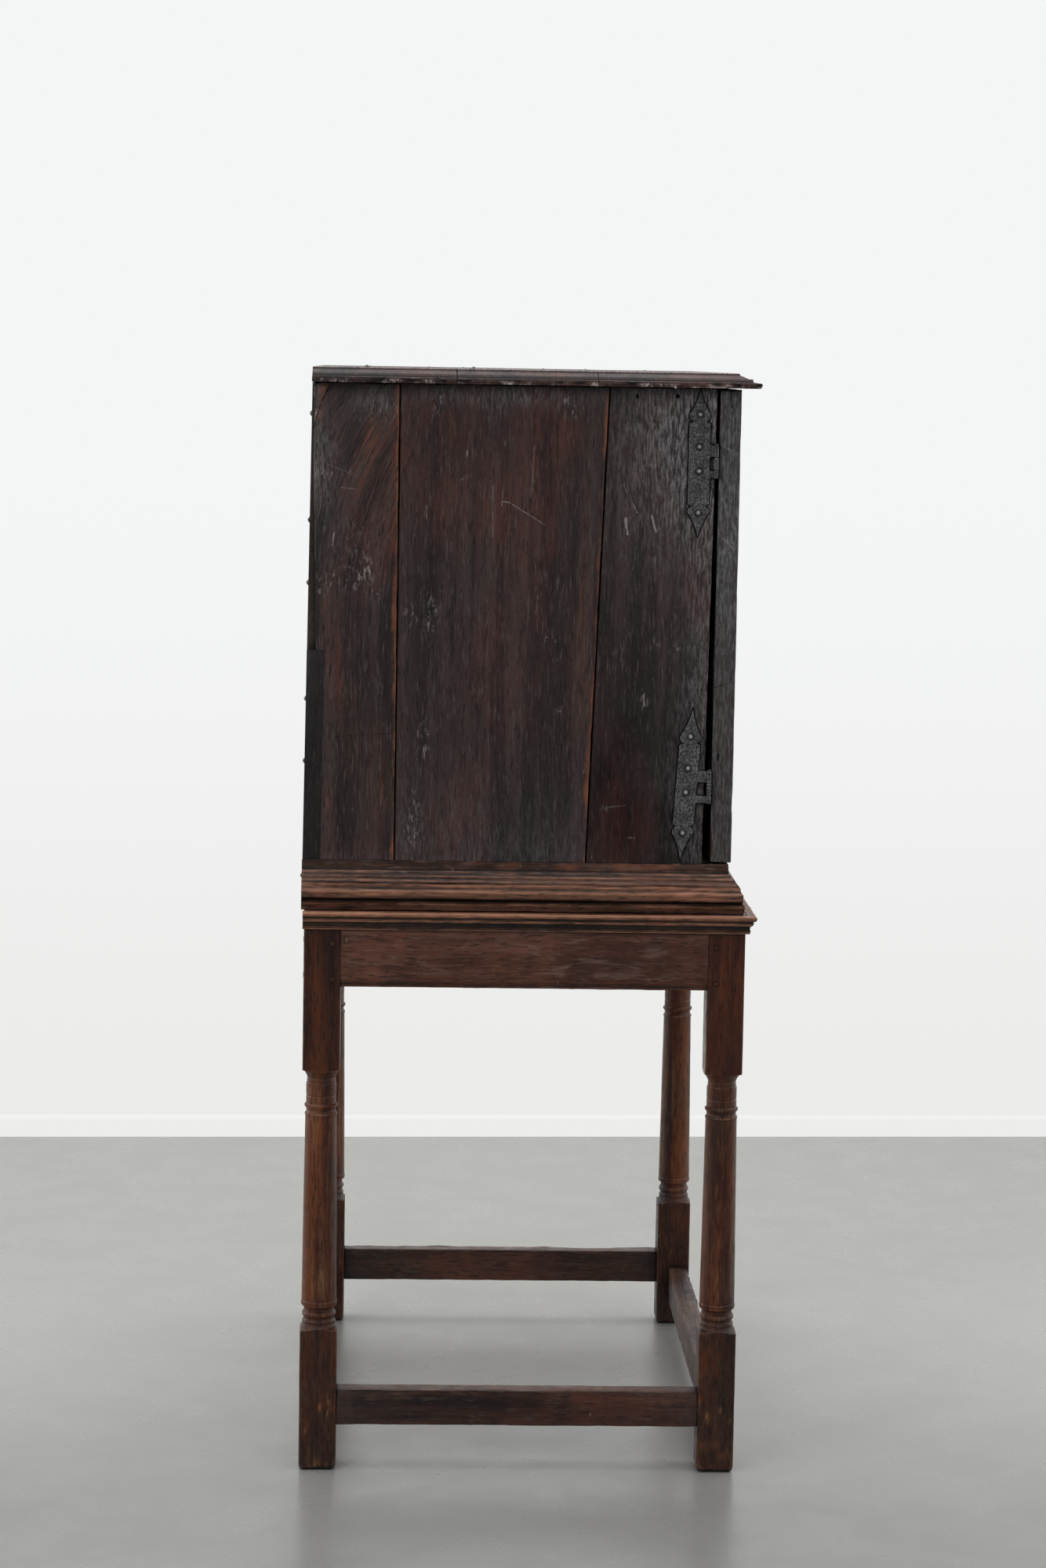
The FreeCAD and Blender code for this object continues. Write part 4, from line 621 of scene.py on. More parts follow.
def side_board(name, seed, material, chips=None, marks=None):
    """An upright board. Its front and back edges may slant, and its outer face is worn."""
    vertices = np.array([vertex.co for vertex in frame["nodes"][name].data.vertices]) / MM
    low, high = vertices.min(0), vertices.max(0)
    grid = [(), (), ()]
    outline_here = plate_outline(name.split("_")[1]) if name.endswith("front_board") else None
    if outline_here is not None:
        spans = outline_here.reshape(-1, 2)
        grid[1] = np.arange(spans[:, 0].min() - 4, min(spans[:, 0].max(), high[1] - 2), 1.3)
        middle = spans[:, 1].mean()
        for part in (spans[spans[:, 1] > middle, 1], spans[spans[:, 1] < middle, 1]):
            grid[2] = np.append(grid[2], np.arange(part.min() - 4, min(part.max() + 4, high[2] - 2), 1.3))
    points, faces, low, high = block(low, high, 1.3, 7.0, grid)
    points = soft_edges(points, low, high, 1.5, seed)
    rows = []
    for top in (False, True):
        level = high[2] if top else low[2]
        chosen = vertices[np.abs(vertices[:, 2] - level) < 0.5]
        rows.append((chosen[:, 1].min(), chosen[:, 1].max()))
    share = (points[:, 2] - low[2]) / (high[2] - low[2])
    back = rows[0][1] + (rows[1][1] - rows[0][1]) * share
    if name.startswith("side_right") and not name.endswith("back_board"):
        back = back + RIGHT_SEAM
    front = rows[0][0] + (rows[1][0] - rows[0][0]) * share
    part = (points[:, 1] - low[1]) / (high[1] - low[1])
    stretched = front + (back - front) * part
    near_front = points[:, 1] - low[1] < 14
    near_back = high[1] - points[:, 1] < 14
    stretched = np.where(near_front, front + points[:, 1] - low[1], stretched)
    stretched = np.where(near_back, back - (high[1] - points[:, 1]), stretched)
    points = np.column_stack([points[:, 0], stretched, points[:, 2]])
    rim = points[:, 1] - front
    points = tired(points, faces, 0.45, seed, 60.0)
    if chips is not None:
        points = sink(points, faces, chips(points, rim))
    extra = {key: np.zeros(len(points)) for key in ("blush", "soot", "nicks_and_glints", "bend")}
    extra["rim"] = rim if marks and marks.get("band") else np.full(len(points), NO_RIM)
    # Painted shade: the middle and front boards are dark along their back arris by the seam, and the front
    # board gets a painted shadow round the hinge plates' outline; the front board is also darker towards its
    # foot.
    seam = np.zeros(len(points))
    if not name.endswith("back_board"):
        seam = np.exp(-((back - points[:, 1]) / 1.6) ** 2)
    if outline_here is not None:
        seam = np.maximum(seam, np.exp(-(from_outline(points, outline_here) / 1.25) ** 4))
    if name.endswith("front_board"):
        foot = smooth_step(-points[:, 2], -1120, -960) * (0.42 + 0.2 * noise(points, (20, 20, 60), seed + 7))
        seam = np.maximum(seam, foot)
    extra["seam"] = 0.9 * seam
    for key, rule in (marks or {}).items():
        if key != "band":
            extra[key] = rule(points)
    make(name + "_worn", lean(points) * MM, faces, material, extra=extra)


# Knocks in the left side's face: place (y, z), spread (y, z), strength of the pale flecks, which are nicks
# and painted glints
KNOCKS = (
    (129, 1453, 7, 16, 1.0), (60, 1458, 14, 7, 1.0), (17, 1460, 16, 6, 0.7), (-42, 1456, 12, 16, 0.9),
    (290, 1205, 14, 9, 1.0), (247, 1221, 26, 14, 1.0), (224, 1234, 9, 12, 0.8), (210, 1198, 8, 5, 0.8),
    (276, 1362, 26, 7, 0.7), (162, 1172, 9, 12, 1.0), (136, 1170, 8, 22, 1.0), (144, 1002, 7, 22, 0.9),
    (156, 893, 10, 42, 0.7), (36, 1404, 4, 5, 1.0), (97, 1353, 4, 4, 0.9), (-49, 1440, 4, 4, 1.0),
    (-192, 1170, 5, 4, 1.0), (-151, 1061, 5, 10, 1.0), (-23, 1139, 6, 6, 0.9), (-164, 1137, 5, 5, 0.8),
    (-192, 1131, 5, 5, 0.8), (-141, 1013, 5, 4, 1.0), (-41, 1045, 4, 4, 0.9), (-105, 915, 7, 4, 0.8),
    (-163, 1440, 40, 30, 0.45), (210, 1445, 30, 22, 0.5), (237, 1269, 30, 30, 0.25), (300, 1420, 5, 60, 0.7),
)


def marked(points, spots):
    """Soft marks on a side, added up. Each has its place (y, z), spread (y, z) and strength."""
    x = points[0, 0]
    return sum(strength * bump(points, (x, y, z), (ANYWHERE, size_y, size_z))
               for y, z, size_y, size_z, strength in spots)


def knocks(points):
    """How strongly pale flecks show at each place: nicks and painted glints."""
    return np.clip(marked(points, KNOCKS) * 1.5, 0, 1)


def dents(points):
    """Knocks in the outer face, as hollows."""
    ragged = 0.5 + 0.5 * noise(points, (6, 6, 9), 57)
    return 1.1 * knocks(points) * ragged


def back_edge_chips(points, rim):
    """The bruised back edge of the left side: a lost corner at the top and gouges lower down."""
    lost = ((1476, 9, 22, 4.5), (1430, 6, 16, 2.0), (1224, 8, 18, 2.2), (1192, 7, 9, 1.8))
    deep = marked(points, [(BACK_FACE, *gouge) for gouge in lost])
    ragged = 0.5 + 0.5 * noise(points, 9.0, 51)
    zone = smooth_step(points[:, 1], BACK_FACE - 9, BACK_FACE)
    gouges = 1.2 * smooth_step(noise(points, (8, 8, 26), 52), 0.2, 0.8)
    seam = 0.8 * np.exp(-rim / 4.0) * (0.5 + 0.5 * noise(points, (30, 30, 22), 53))
    return deep * (0.5 + ragged) + zone * gouges + dents(points) + seam


def front_arris_wear(points, rim):
    """The worn arris along a seam."""
    seam = 1.1 * np.exp(-rim / 5.0) * (0.6 + 0.5 * noise(points, (30, 30, 40), 54))
    return seam + dents(points)


def swerve(points):
    """The grain of the back board turns over at its top."""
    share = np.clip((points[:, 2] - 1190) / 290, 0, 1.1)
    return 0.105 * share ** 2


BACK_GLOWS = (
    (222, 1392, 14, 34, 0.8), (218, 1426, 10, 18, 0.6), (240, 1352, 10, 22, 0.7), (272, 1410, 9, 40, 0.35),
    (253, 1337, 6, 9, 0.6), (187, 1405, 9, 30, 0.7), (189, 1300, 6, 60, 0.45), (227, 852, 8, 10, 0.9),
    (273, 899, 7, 28, 0.8), (261, 1090, 9, 60, 0.35), (292, 1186, 12, 9, 0.6), (240, 1000, 8, 50, 0.3),
    (205, 940, 14, 60, 0.3),
)
MIDDLE_GLOWS = (
    (120, 1405, 12, 60, 0.35), (60, 1300, 26, 40, 0.22), (-20, 1380, 24, 60, 0.25), (-64, 1180, 14, 160, 0.3),
    (-40, 1420, 20, 20, 0.25),
)


def back_board_blush(points):
    """Red and orange streaks in the upper half, and bare spots lower down."""
    return np.clip(marked(points, BACK_GLOWS), 0, 0.9)


def middle_board_blush(points):
    """Faint warm patches."""
    return np.clip(marked(points, MIDDLE_GLOWS), 0, 0.8)


def front_board_soot(points):
    """The front board is grey-black and rough round its hinges."""
    round_hinges = marked(points, ((-210, 1410, 85, 130, 1.0), (-215, 950, 40, 120, 0.4)))
    return np.clip(round_hinges + 0.4 * smooth_step(-points[:, 1], 185, 235), 0, 1)


def front_board_chips(points, rim):
    """The front board's bruised front half."""
    rough = smooth_step(-points[:, 1], 130, 200)
    hammered = rough * (0.5 + 0.5 * noise(points, 7.0, 71))
    return hammered + dents(points)


def back_board_soot(points):
    """Blackened towards the top of the back edge, and at the foot."""
    high_up = marked(points, ((292, 1370, 22, 60, 0.6), (212, 1455, 30, 18, 0.5)))
    return np.clip(high_up + 0.4 * smooth_step(-points[:, 2], -860, -800), 0, 0.8)


def middle_board_soot(points):
    """Darker in a band just under the top, and a little at the foot."""
    low = 0.2 * smooth_step(-points[:, 2], -1000, -800)
    return np.clip(low + marked(points, ((40, 1468, 120, 16, 0.5),)), 0, 0.8)


LEFT_MARKS = {
    "back": (back_edge_chips, {"band": True, "blush": back_board_blush, "soot": back_board_soot,
                               "nicks_and_glints": knocks, "bend": swerve}),
    "middle": (front_arris_wear, {"band": True, "blush": middle_board_blush, "soot": middle_board_soot,
                                  "nicks_and_glints": knocks}),
    "front": (front_board_chips, {"soot": front_board_soot, "nicks_and_glints": knocks}),
}
RIGHT_MARKS = {"back": (None, {"band": True}), "middle": (None, {"band": True}),
               "front": (None, {"soot": front_board_soot})}
for side_name, board_marks, board_oak in (
    ("left", LEFT_MARKS, side_left_oak), ("right", RIGHT_MARKS, side_right_oak),
):
    for board_seed, (place, (chips, marks)) in enumerate(board_marks.items(), 11):
        side_board(f"side_{side_name}_{place}_board", board_seed, board_oak, chips, marks)


# Simple boards and members

def member(name, material, edge=1.5, depth=0.35, seed=1, spacing=9.0, box=None, clip=None, extra=None,
           grid=((), (), ()), wear_more=None):
    """A plain member as a worn block."""
    low, high = corner_box(name) if box is None else box
    points, faces, low, high = block(low, high, edge * 0.9, spacing, grid)
    points = soft_edges(points, low, high, edge, seed)
    if wear_more is not None:
        points = sink(points, faces, wear_more(points))
    if clip is not None:
        points = clip(points)
    points = tired(points, faces, depth, seed, 45.0)
    values = {key: rule(points) for key, rule in (extra or {}).items()}
    make(name + "_worn", points * MM, faces, material, extra=values)


LEG_IN = 51.0
stand_low, stand_high = corner_box("leg_front_left")[0], corner_box("leg_back_right")[1]


def between_legs(name, axis):
    """The seen part of a rail or stretcher: from leg to leg."""
    low, high = corner_box(name)
    low[axis] = stand_low[axis] + LEG_IN - 1
    high[axis] = stand_high[axis] - LEG_IN + 1
    return low, high


def stretcher_wear(low, high, sign, axis):
    """The outer top arris of a stretcher, rubbed away by feet."""
    def rule(points):
        face = high[axis] if sign > 0 else low[axis]
        across = np.abs(points[:, axis] - face)
        up = high[2] - points[:, 2]
        corner = np.exp(-(across + up) / 7.0)
        return corner * (1.6 + 1.6 * noise(points, 60.0, 81) + 0.8 * noise(points, 14.0, 82))
    return rule


def stretcher_blush(low, high):
    """The top of a stretcher, redder where feet have rubbed it."""
    def rule(points):
        top = np.exp(-((high[2] - points[:, 2]) / 7.0) ** 2)
        return np.clip(top * (0.45 + 0.45 * noise(points, 70.0, 83)), 0, 0.8)
    return rule


def end_soot(low, high, axis):
    """A stretcher's blackened ends."""
    def rule(points):
        near = np.minimum(points[:, axis] - low[axis], high[axis] - points[:, axis])
        return 0.85 * np.exp(-np.maximum(near, 0) / 48.0)
    return rule


for name, axis, sign, material in (
    ("stretcher_left", 1, -1, low_y_oak), ("stretcher_right", 1, 1, low_y_oak),
    ("stretcher_front", 0, -1, low_x_oak), ("stretcher_back", 0, 1, low_x_oak),
):
    limits = between_legs(name, axis)
    rules = {"blush": stretcher_blush(*limits), "soot": end_soot(*limits, axis)}
    member(name, material, 2.0, 0.5, 20 + axis, 8.0, limits, extra=rules,
           wear_more=stretcher_wear(*limits, sign, 1 - axis))


# Swept mouldings and rails

def ring_quads(rows, count):
    """Quads between rows of points, each row closed on itself."""
    ring = np.arange(count)
    after = (ring + 1) % count
    corners = np.stack([ring, after, count + after, count + ring], -1)
    return np.concatenate([base + corners for base in range(0, (rows - 1) * count, count)])


def outline(shares, width, height, step=1.8):
    """Points of a mould section from its shares: straight and curved stretches, closely divided."""
    corners = [(share[0] * width, share[1] * height, *share[2:]) for share in shares]
    found = []
    for number, corner in enumerate(corners):
        after = corners[(number + 1) % len(corners)]
        start = np.array(corner[:2])
        stop = np.array(after[:2])
        chord = stop - start
        length = max(np.linalg.norm(chord), 1e-9)
        count = max(2 if len(corner) == 3 else 1, math.ceil(length / step))
        side = np.array([-chord[1], chord[0]])
        sagitta = corner[2] if len(corner) == 3 else 0.0
        for part in np.arange(count) / count:
            found.append(start + chord * part + side * sagitta * 4 * part * (1 - part))
    return np.array(found)


def sweep(name, section, frame_of, start, stop, material, seed, depth=0.3, spacing=6.0, extra=None):
    """A section carried along a member. Each section point has its own start and stop."""
    stations = max(2, math.ceil(np.max(np.abs(stop - start)) / spacing))
    shares = np.concatenate([[0, 0.4 / stations], np.linspace(1 / stations, 1 - 1 / stations, stations - 1),
                             [1 - 0.4 / stations, 1]])
    rows = [frame_of(section, start + (stop - start) * share) for share in shares]
    points = np.concatenate(rows)
    count = len(section)
    faces = ring_quads(len(shares), count)
    outward = face_normals(points, faces)
    middle = points.mean(0)
    if np.sum((points - middle) * outward) < 0:
        faces = faces[:, ::-1]
    edges = edges_of(faces)
    normals = face_normals(points, faces)
    soft = points.copy()
    for _ in range(3):
        soft = soft * 0.5 + around(soft, edges, len(points)) * 0.5
    stand_out = np.clip(np.sum((points - soft) * normals, axis=1), 0, None)
    rub = stand_out * (1.0 + 0.9 * noise(points, 18.0, seed) + 0.6 * noise(points, 5.0, seed + 2))
    points = points - normals * np.clip(rub, 0, None)[:, None]
    points = tired(points, faces, depth, seed, 40.0)
    wear = np.clip(relief(points * MM, faces, face_normals(points, faces)), -1, 1)
    everything = faces.tolist()
    for row, flip in ((0, True), (len(shares) - 1, False)):
        ring_points = [Vector((*p, 0.0)) for p in section]
        for triangle in tessellate_polygon([ring_points]):
            corners = [row * count + corner for corner in triangle]
            everything.append(corners[::-1] if flip else corners)
    # On the mouldings the arris lightening and quirk darkening are strengthened: painted highlights and
    # painted shade on top of their wear.
    if "moulding" in name:
        wear = np.clip(1.6 * wear, -1, 1)
    values = {"wear": wear, "blush": np.zeros(len(points))}
    values.update({key: rule(points) for key, rule in (extra or {}).items()})
    face_outwards(make(name + "_worn", points * MM, everything, material, extra=values))


BASE_SHARES = (
    (0.0, 1.0), (0.03, 1.0), (0.06, 0.80), (0.16, 0.78, -0.20), (0.36, 0.706), (0.45, 0.632, 0.10),
    (0.56, 0.589), (0.73, 0.538, -0.16), (0.905, 0.40, -0.04), (0.875, 0.253), (0.83, 0.221),
    (0.96, 0.179, -0.07), (1.0, 0.136, -0.07), (0.95, 0.094), (0.92, 0.0), (0.0, 0.0),
)
STAND_SHARES = (
    (0.0, 1.0), (0.92, 1.0, -0.07), (1.0, 0.87, -0.07), (0.90, 0.74), (0.66, 0.70, 0.22),
    (0.36, 0.41), (0.36, 0.24), (0.46, 0.19, -0.35), (0.42, 0.05), (0.0, 0.0),
)
TOP_SHARES = (
    (0.0, 1.0, -0.20), (0.165, 0.75), (0.58, 0.65, -0.18), (0.98, 0.38), (1.0, 0.20),
    (0.97, 0.06), (0.93, 0.0),
)


# Rubbed lines with painted highlights, and lines of painted shade, of the mouldings: pairs of a height, as a
# share of the whole, and a strength
BASE_RUB_AND_HIGHLIGHT = ((0.0, 0.3), (0.04, 0.6), (0.08, 0.1), (0.19, 0.0), (0.28, 0.2), (0.32, 0.7), (0.45, 0.9),
              (0.52, 0.7), (0.555, 0.0), (0.60, 0.6), (0.64, 0.5), (0.665, 0.0), (0.71, 0.3), (0.76, 0.7),
              (0.80, 0.4), (0.84, 0.15), (1.0, 0.1))
BASE_SHADE = ((0.0, 0.1), (0.06, 0.35), (0.12, 0.3), (0.19, 0.85), (0.25, 0.85), (0.285, 0.1), (0.525, 0.0),
             (0.56, 0.85), (0.595, 0.1), (0.64, 0.0), (0.67, 0.6), (0.71, 0.0), (1.0, 0.0))
STAND_RUB_AND_HIGHLIGHT = ((0.0, 0.2), (0.08, 0.7), (0.15, 0.1), (0.35, 0.2), (0.60, 0.45), (0.71, 0.5), (0.78, 0.2),
               (0.86, 0.8), (1.0, 0.5))
STAND_SHADE = ((0.0, 0.3), (0.05, 0.0), (0.17, 0.35), (0.32, 0.3), (0.45, 0.05), (0.70, 0.0), (0.745, 0.5),
              (0.79, 0.0), (1.0, 0.0))


def by_height(low, height, levels, patchy):
    """A value that follows the height in a moulding, in patches along its length."""
    heights, values = zip(*levels)

    def rule(points):
        share = (points[:, 2] - low) / height + 0.012 * noise(points, 60.0, 93)
        there = np.interp(share, heights, values)
        patches = 1 + patchy * noise(points, 55.0, 91) + 0.6 * patchy * noise(points, 15.0, 92)
        return np.clip(there * patches, 0, 0.9)
    return rule


def mouldings(name, shares, width, height, seed, materials, tones):
    """The front moulding and its two returns, mitred at the front corners."""
    low, high = corner_box(name + "_front")
    front_face = low[1] + width
    section = outline(shares, width, height)
    section[:, 1] += low[2]
    half = high[0] - width
    # By height: the blush paints rubbing and painted highlights, the seam painted shade.
    extra = {key: by_height(low[2], height, *tone) for key, tone in zip(("blush", "seam"), tones)}
    front_start = -half - section[:, 0]
    front_stop = half + section[:, 0]
    sweep(name + "_front", section,
          lambda s, t: np.column_stack([t, front_face - s[:, 0], s[:, 1]]),
          front_start, front_stop, materials[0], seed, extra=extra)
    back_end = corner_box(name + "_left")[1][1]
    for side_name, sign in X_SIDES.items():
        sweep(f"{name}_{side_name}", section,
              lambda s, t, sign=sign: np.column_stack([sign * (half + s[:, 0]), t, s[:, 1]]),
              front_face - section[:, 0], np.full(len(section), back_end), materials[1], seed + 1,
              extra=extra)


mouldings("base_moulding", BASE_SHARES, 22.9, 66.0, 31, (mould_x_oak, mould_y_oak),
          ((BASE_RUB_AND_HIGHLIGHT, 0.8), (BASE_SHADE, 0.4)))
mouldings("stand_moulding", STAND_SHARES, 14.0, 26.0, 34, (mould_x_oak, mould_y_oak),
          ((STAND_RUB_AND_HIGHLIGHT, 0.8), (STAND_SHADE, 0.4)))


def rail(name, axis, sign, material, seed):
    """A rail between two legs, with the bead along its bottom edge."""
    low, high = between_legs(name, axis)
    other = 1 - axis
    thick = high[other] - low[other]
    tall = high[2] - low[2]
    bead, quirk = 6.5, 1.2
    corners = ((thick, 0), (thick, tall), (0, tall), (0, bead + quirk), (quirk, bead + quirk),
               (quirk, bead, 0.25), (quirk, 0))
    shares = [(corner[0] / thick, corner[1] / tall, *corner[2:]) for corner in corners]
    section = outline(shares, thick, tall, 2.5)
    face = high[other] if sign > 0 else low[other]

    def place(s, t):
        deep = face - sign * s[:, 0]
        height = low[2] + s[:, 1]
        return np.column_stack([t, deep, height] if axis == 0 else [deep, t, height])

    start = np.full(len(section), low[axis])
    stop = np.full(len(section), high[axis])
    sweep(name, section, place, start, stop, material, seed, 0.4, 8.0)


rail("rail_front", 0, -1, rail_x_oak, 41)
rail("rail_back", 0, 1, rail_x_oak, 42)
rail("rail_left", 1, -1, rail_y_oak, 43)
rail("rail_right", 1, 1, rail_y_oak, 44)


# Turned legs

STAND_TOP = 773.5
LOWER_BLOCK = 193.0
TURNED = STAND_TOP - LOWER_BLOCK - 217.5
SECTION = 51.0
TURNING = (
    (0.750, 0.0), (0.490, 0.0125, 0.15), (0.455, 0.0333), (0.443, 0.0360, 0.22), (0.450, 0.0541, -0.18),
    (0.407, 0.0735), (0.407, 0.0791, 0.20), (0.482, 0.0920), (0.486, 0.1096), (0.466, 0.1140),
    (0.474, 0.1180), (0.4216, 0.8197), (0.437, 0.8215), (0.437, 0.8266, 0.24), (0.437, 0.8516),
    (0.446, 0.8530), (0.446, 0.8600), (0.404, 0.8650), (0.404, 0.9404, 0.17), (0.488, 0.9875),
    (0.750, 1.0),
)
INCISED = (0.895, 0.945, 0.962)


def turned_profile():
    """Radius against height of the turned length, in millimetres."""
    found = []
    for number, corner in enumerate(TURNING[:-1]):
        after = TURNING[number + 1]
        start = np.array([corner[0] * SECTION, LOWER_BLOCK + corner[1] * TURNED])
        stop = np.array([after[0] * SECTION, LOWER_BLOCK + after[1] * TURNED])
        chord = stop - start
        side = np.array([-chord[1], chord[0]])
        sagitta = corner[2] if len(corner) == 3 else 0.0
        count = 8 if sagitta else 1
        for part in np.arange(count) / count:
            found.append(start + chord * part + side * sagitta * 4 * part * (1 - part))
    found.append(stop)
    return np.array(found)


def square_reach(angle, half, corner):
    """Distance from the middle to a rounded square's side, by angle."""
    across = np.maximum(np.abs(np.cos(angle)), np.abs(np.sin(angle)))
    along = np.minimum(np.abs(np.cos(angle)), np.abs(np.sin(angle)))
    flat = half / across
    centre = half - corner
    dot = (across + along) * centre
    inside = np.maximum(dot ** 2 - 2 * centre ** 2 + corner ** 2, 0)
    round_part = dot + np.sqrt(inside)
    return np.where(flat * along <= centre, flat, round_part)


def leg(name, seed):
    low, high = corner_box(name)
    centre = (low + high) / 2
    profile = turned_profile()
    quarter = np.array([0, 7, 14, 21, 27, 32, 36, 39, 41.5, 43.5, 45, 46.5, 48.5, 51, 54, 58, 63, 69, 76, 83])
    angle = np.radians(np.concatenate([quarter + 90 * turn for turn in range(4)]))
    rows = [0, 0.6, 1.5, 2.8, 4.5, 6.5, 9]
    rows += list(np.arange(16, LOWER_BLOCK - 8, 8.0))
    rows += list(np.arange(LOWER_BLOCK - 10, LOWER_BLOCK + 8, 0.8))
    rows += list(profile[:, 1]) + list(np.arange(LOWER_BLOCK, LOWER_BLOCK + 48, 0.9))
    rows += list(np.arange(LOWER_BLOCK + 50, 486, 9.0)) + list(np.arange(486, 562, 0.9))
    rows += list(np.arange(566, STAND_TOP - 1, 9.0)) + [STAND_TOP - 1, STAND_TOP - 0.3, STAND_TOP]
    rows = np.unique(np.round(rows, 2))
    rows = rows[np.concatenate([[True], np.diff(rows) > 0.25])]
    rows[-1] = STAND_TOP
    turned = np.interp(rows, profile[:, 1], profile[:, 0], left=60, right=60)
    for share in INCISED:
        level = LOWER_BLOCK + share * TURNED
        turned = turned - 0.7 * np.exp(-((rows - level) / 0.9) ** 2)
    foot = np.where(rows < 8, 8 - np.sqrt(np.maximum(64 - (8 - rows) ** 2, 0)), 0) * 0.9
    angles, heights = np.meshgrid(angle, rows)
    flat = np.column_stack([np.cos(angles).ravel() * 25, np.sin(angles).ravel() * 25, heights.ravel()])
    offset = np.array([centre[0], centre[1], 0])
    uneven = 0.5 + 0.5 * noise(flat + offset, (14, 14, 26), seed)
    fine = 0.5 + 0.5 * noise(flat + offset, 7.0, seed + 1)
    corner = 1.6 + 2.8 * uneven ** 2 + 1.6 * fine ** 3
    corner = corner + 5.0 * np.exp(-flat[:, 2] / 22.0) * uneven
    square = square_reach(angles.ravel(), SECTION / 2 - 0.05, np.clip(corner, 0.6, 12))
    square = square - np.repeat(foot, len(angle))
    reach = np.minimum(np.repeat(turned, len(angle)), square)
    points = np.column_stack([np.cos(angles).ravel() * reach, np.sin(angles).ravel() * reach,
                              heights.ravel()]) + offset
    count = len(angle)
    faces = ring_quads(len(rows), count)
    points = tired(points, faces, 0.35, seed, 30.0)
    points[:, 2] = np.clip(points[:, 2], 0, STAND_TOP)
    points[:count, 2] = 0
    points[-count:, 2] = STAND_TOP
    wear = np.clip(relief(points * MM, faces, face_normals(points, faces)) * 0.8, -1, 1)
    column = smooth_step(points[:, 2], 232, 250) * (1 - smooth_step(points[:, 2], 530, 560))
    red = np.clip(column * (0.16 + 0.25 * noise(points, (30, 30, 120), 95)), 0, 0.5)
    worn_foot = np.exp(-points[:, 2] / 26.0) * smooth_step(noise(points, 11.0, 96), 0.05, 0.5)
    near_floor = bump(points, (0, 0, 78), (ANYWHERE, ANYWHERE, 42))
    bare = near_floor * smooth_step(noise(points, (6, 6, 8), 99 + seed), 0.5, 0.75)
    worn_foot = np.clip(worn_foot + 0.9 * bare, 0, 1)
    wear = np.where(wear < 0, 1.7 * wear, wear)
    chips = smooth_step(wear, 0.25, 0.7) * smooth_step(noise(points, 12.0, 97), 0.1, 0.5) * 0.6
    low_soot = 0.95 if "front" in name else 0.8
    block_soot = low_soot * (1 - smooth_step(points[:, 2], 190, 236))
    block_soot += 0.4 * smooth_step(points[:, 2], 545, 565) + 0.3 * np.exp(-points[:, 2] / 60.0)
    block_soot *= (1 - worn_foot) * (0.8 + 0.2 * noise(points, 40.0, 98))
    everything = faces.tolist()
    bottom = len(points)
    points = np.concatenate([points, [[centre[0], centre[1], 0], [centre[0], centre[1], STAND_TOP]]])
    for number in range(count):
        following = (number + 1) % count
        last = (len(rows) - 1) * count
        everything.append([number, bottom, following])
        everything.append([last + number, last + following, bottom + 1])
    ends = [0.0, 0.0]
    extra = {
        "wear": np.append(wear, ends),
        "blush": np.append(np.clip(red + 0.8 * worn_foot + chips, 0, 0.9), ends),
        "soot": np.append(np.clip(block_soot, 0, 0.9), ends),
    }
    face_outwards(make(name + "_worn", points * MM, everything, leg_oak, extra=extra))


for number, name in enumerate(("leg_front_left", "leg_front_right", "leg_back_left", "leg_back_right")):
    leg(name, 101 + number)


# The top

top_low, top_high = corner_box("top_board_front")
NOSE = {"left": top_low[0], "right": top_high[0], "front": top_low[1]}
TOP_EDGE_WIDTH, TOP_EDGE_HEIGHT = 28.0, 20.5
top_profile = np.array(sorted(
    (TOP_EDGE_WIDTH - p[0], p[1]) for p in outline(TOP_SHARES, TOP_EDGE_WIDTH, TOP_EDGE_HEIGHT, 1.0)
    if p[1] >= 0.2 * TOP_EDGE_HEIGHT and p[0] >= 0))
# The inner bolt's socket under the top: x and y from and to, and its depth as a height
SOCKET = ((-37.7, -26.7), (-244.6, -237.6), 1491.5)


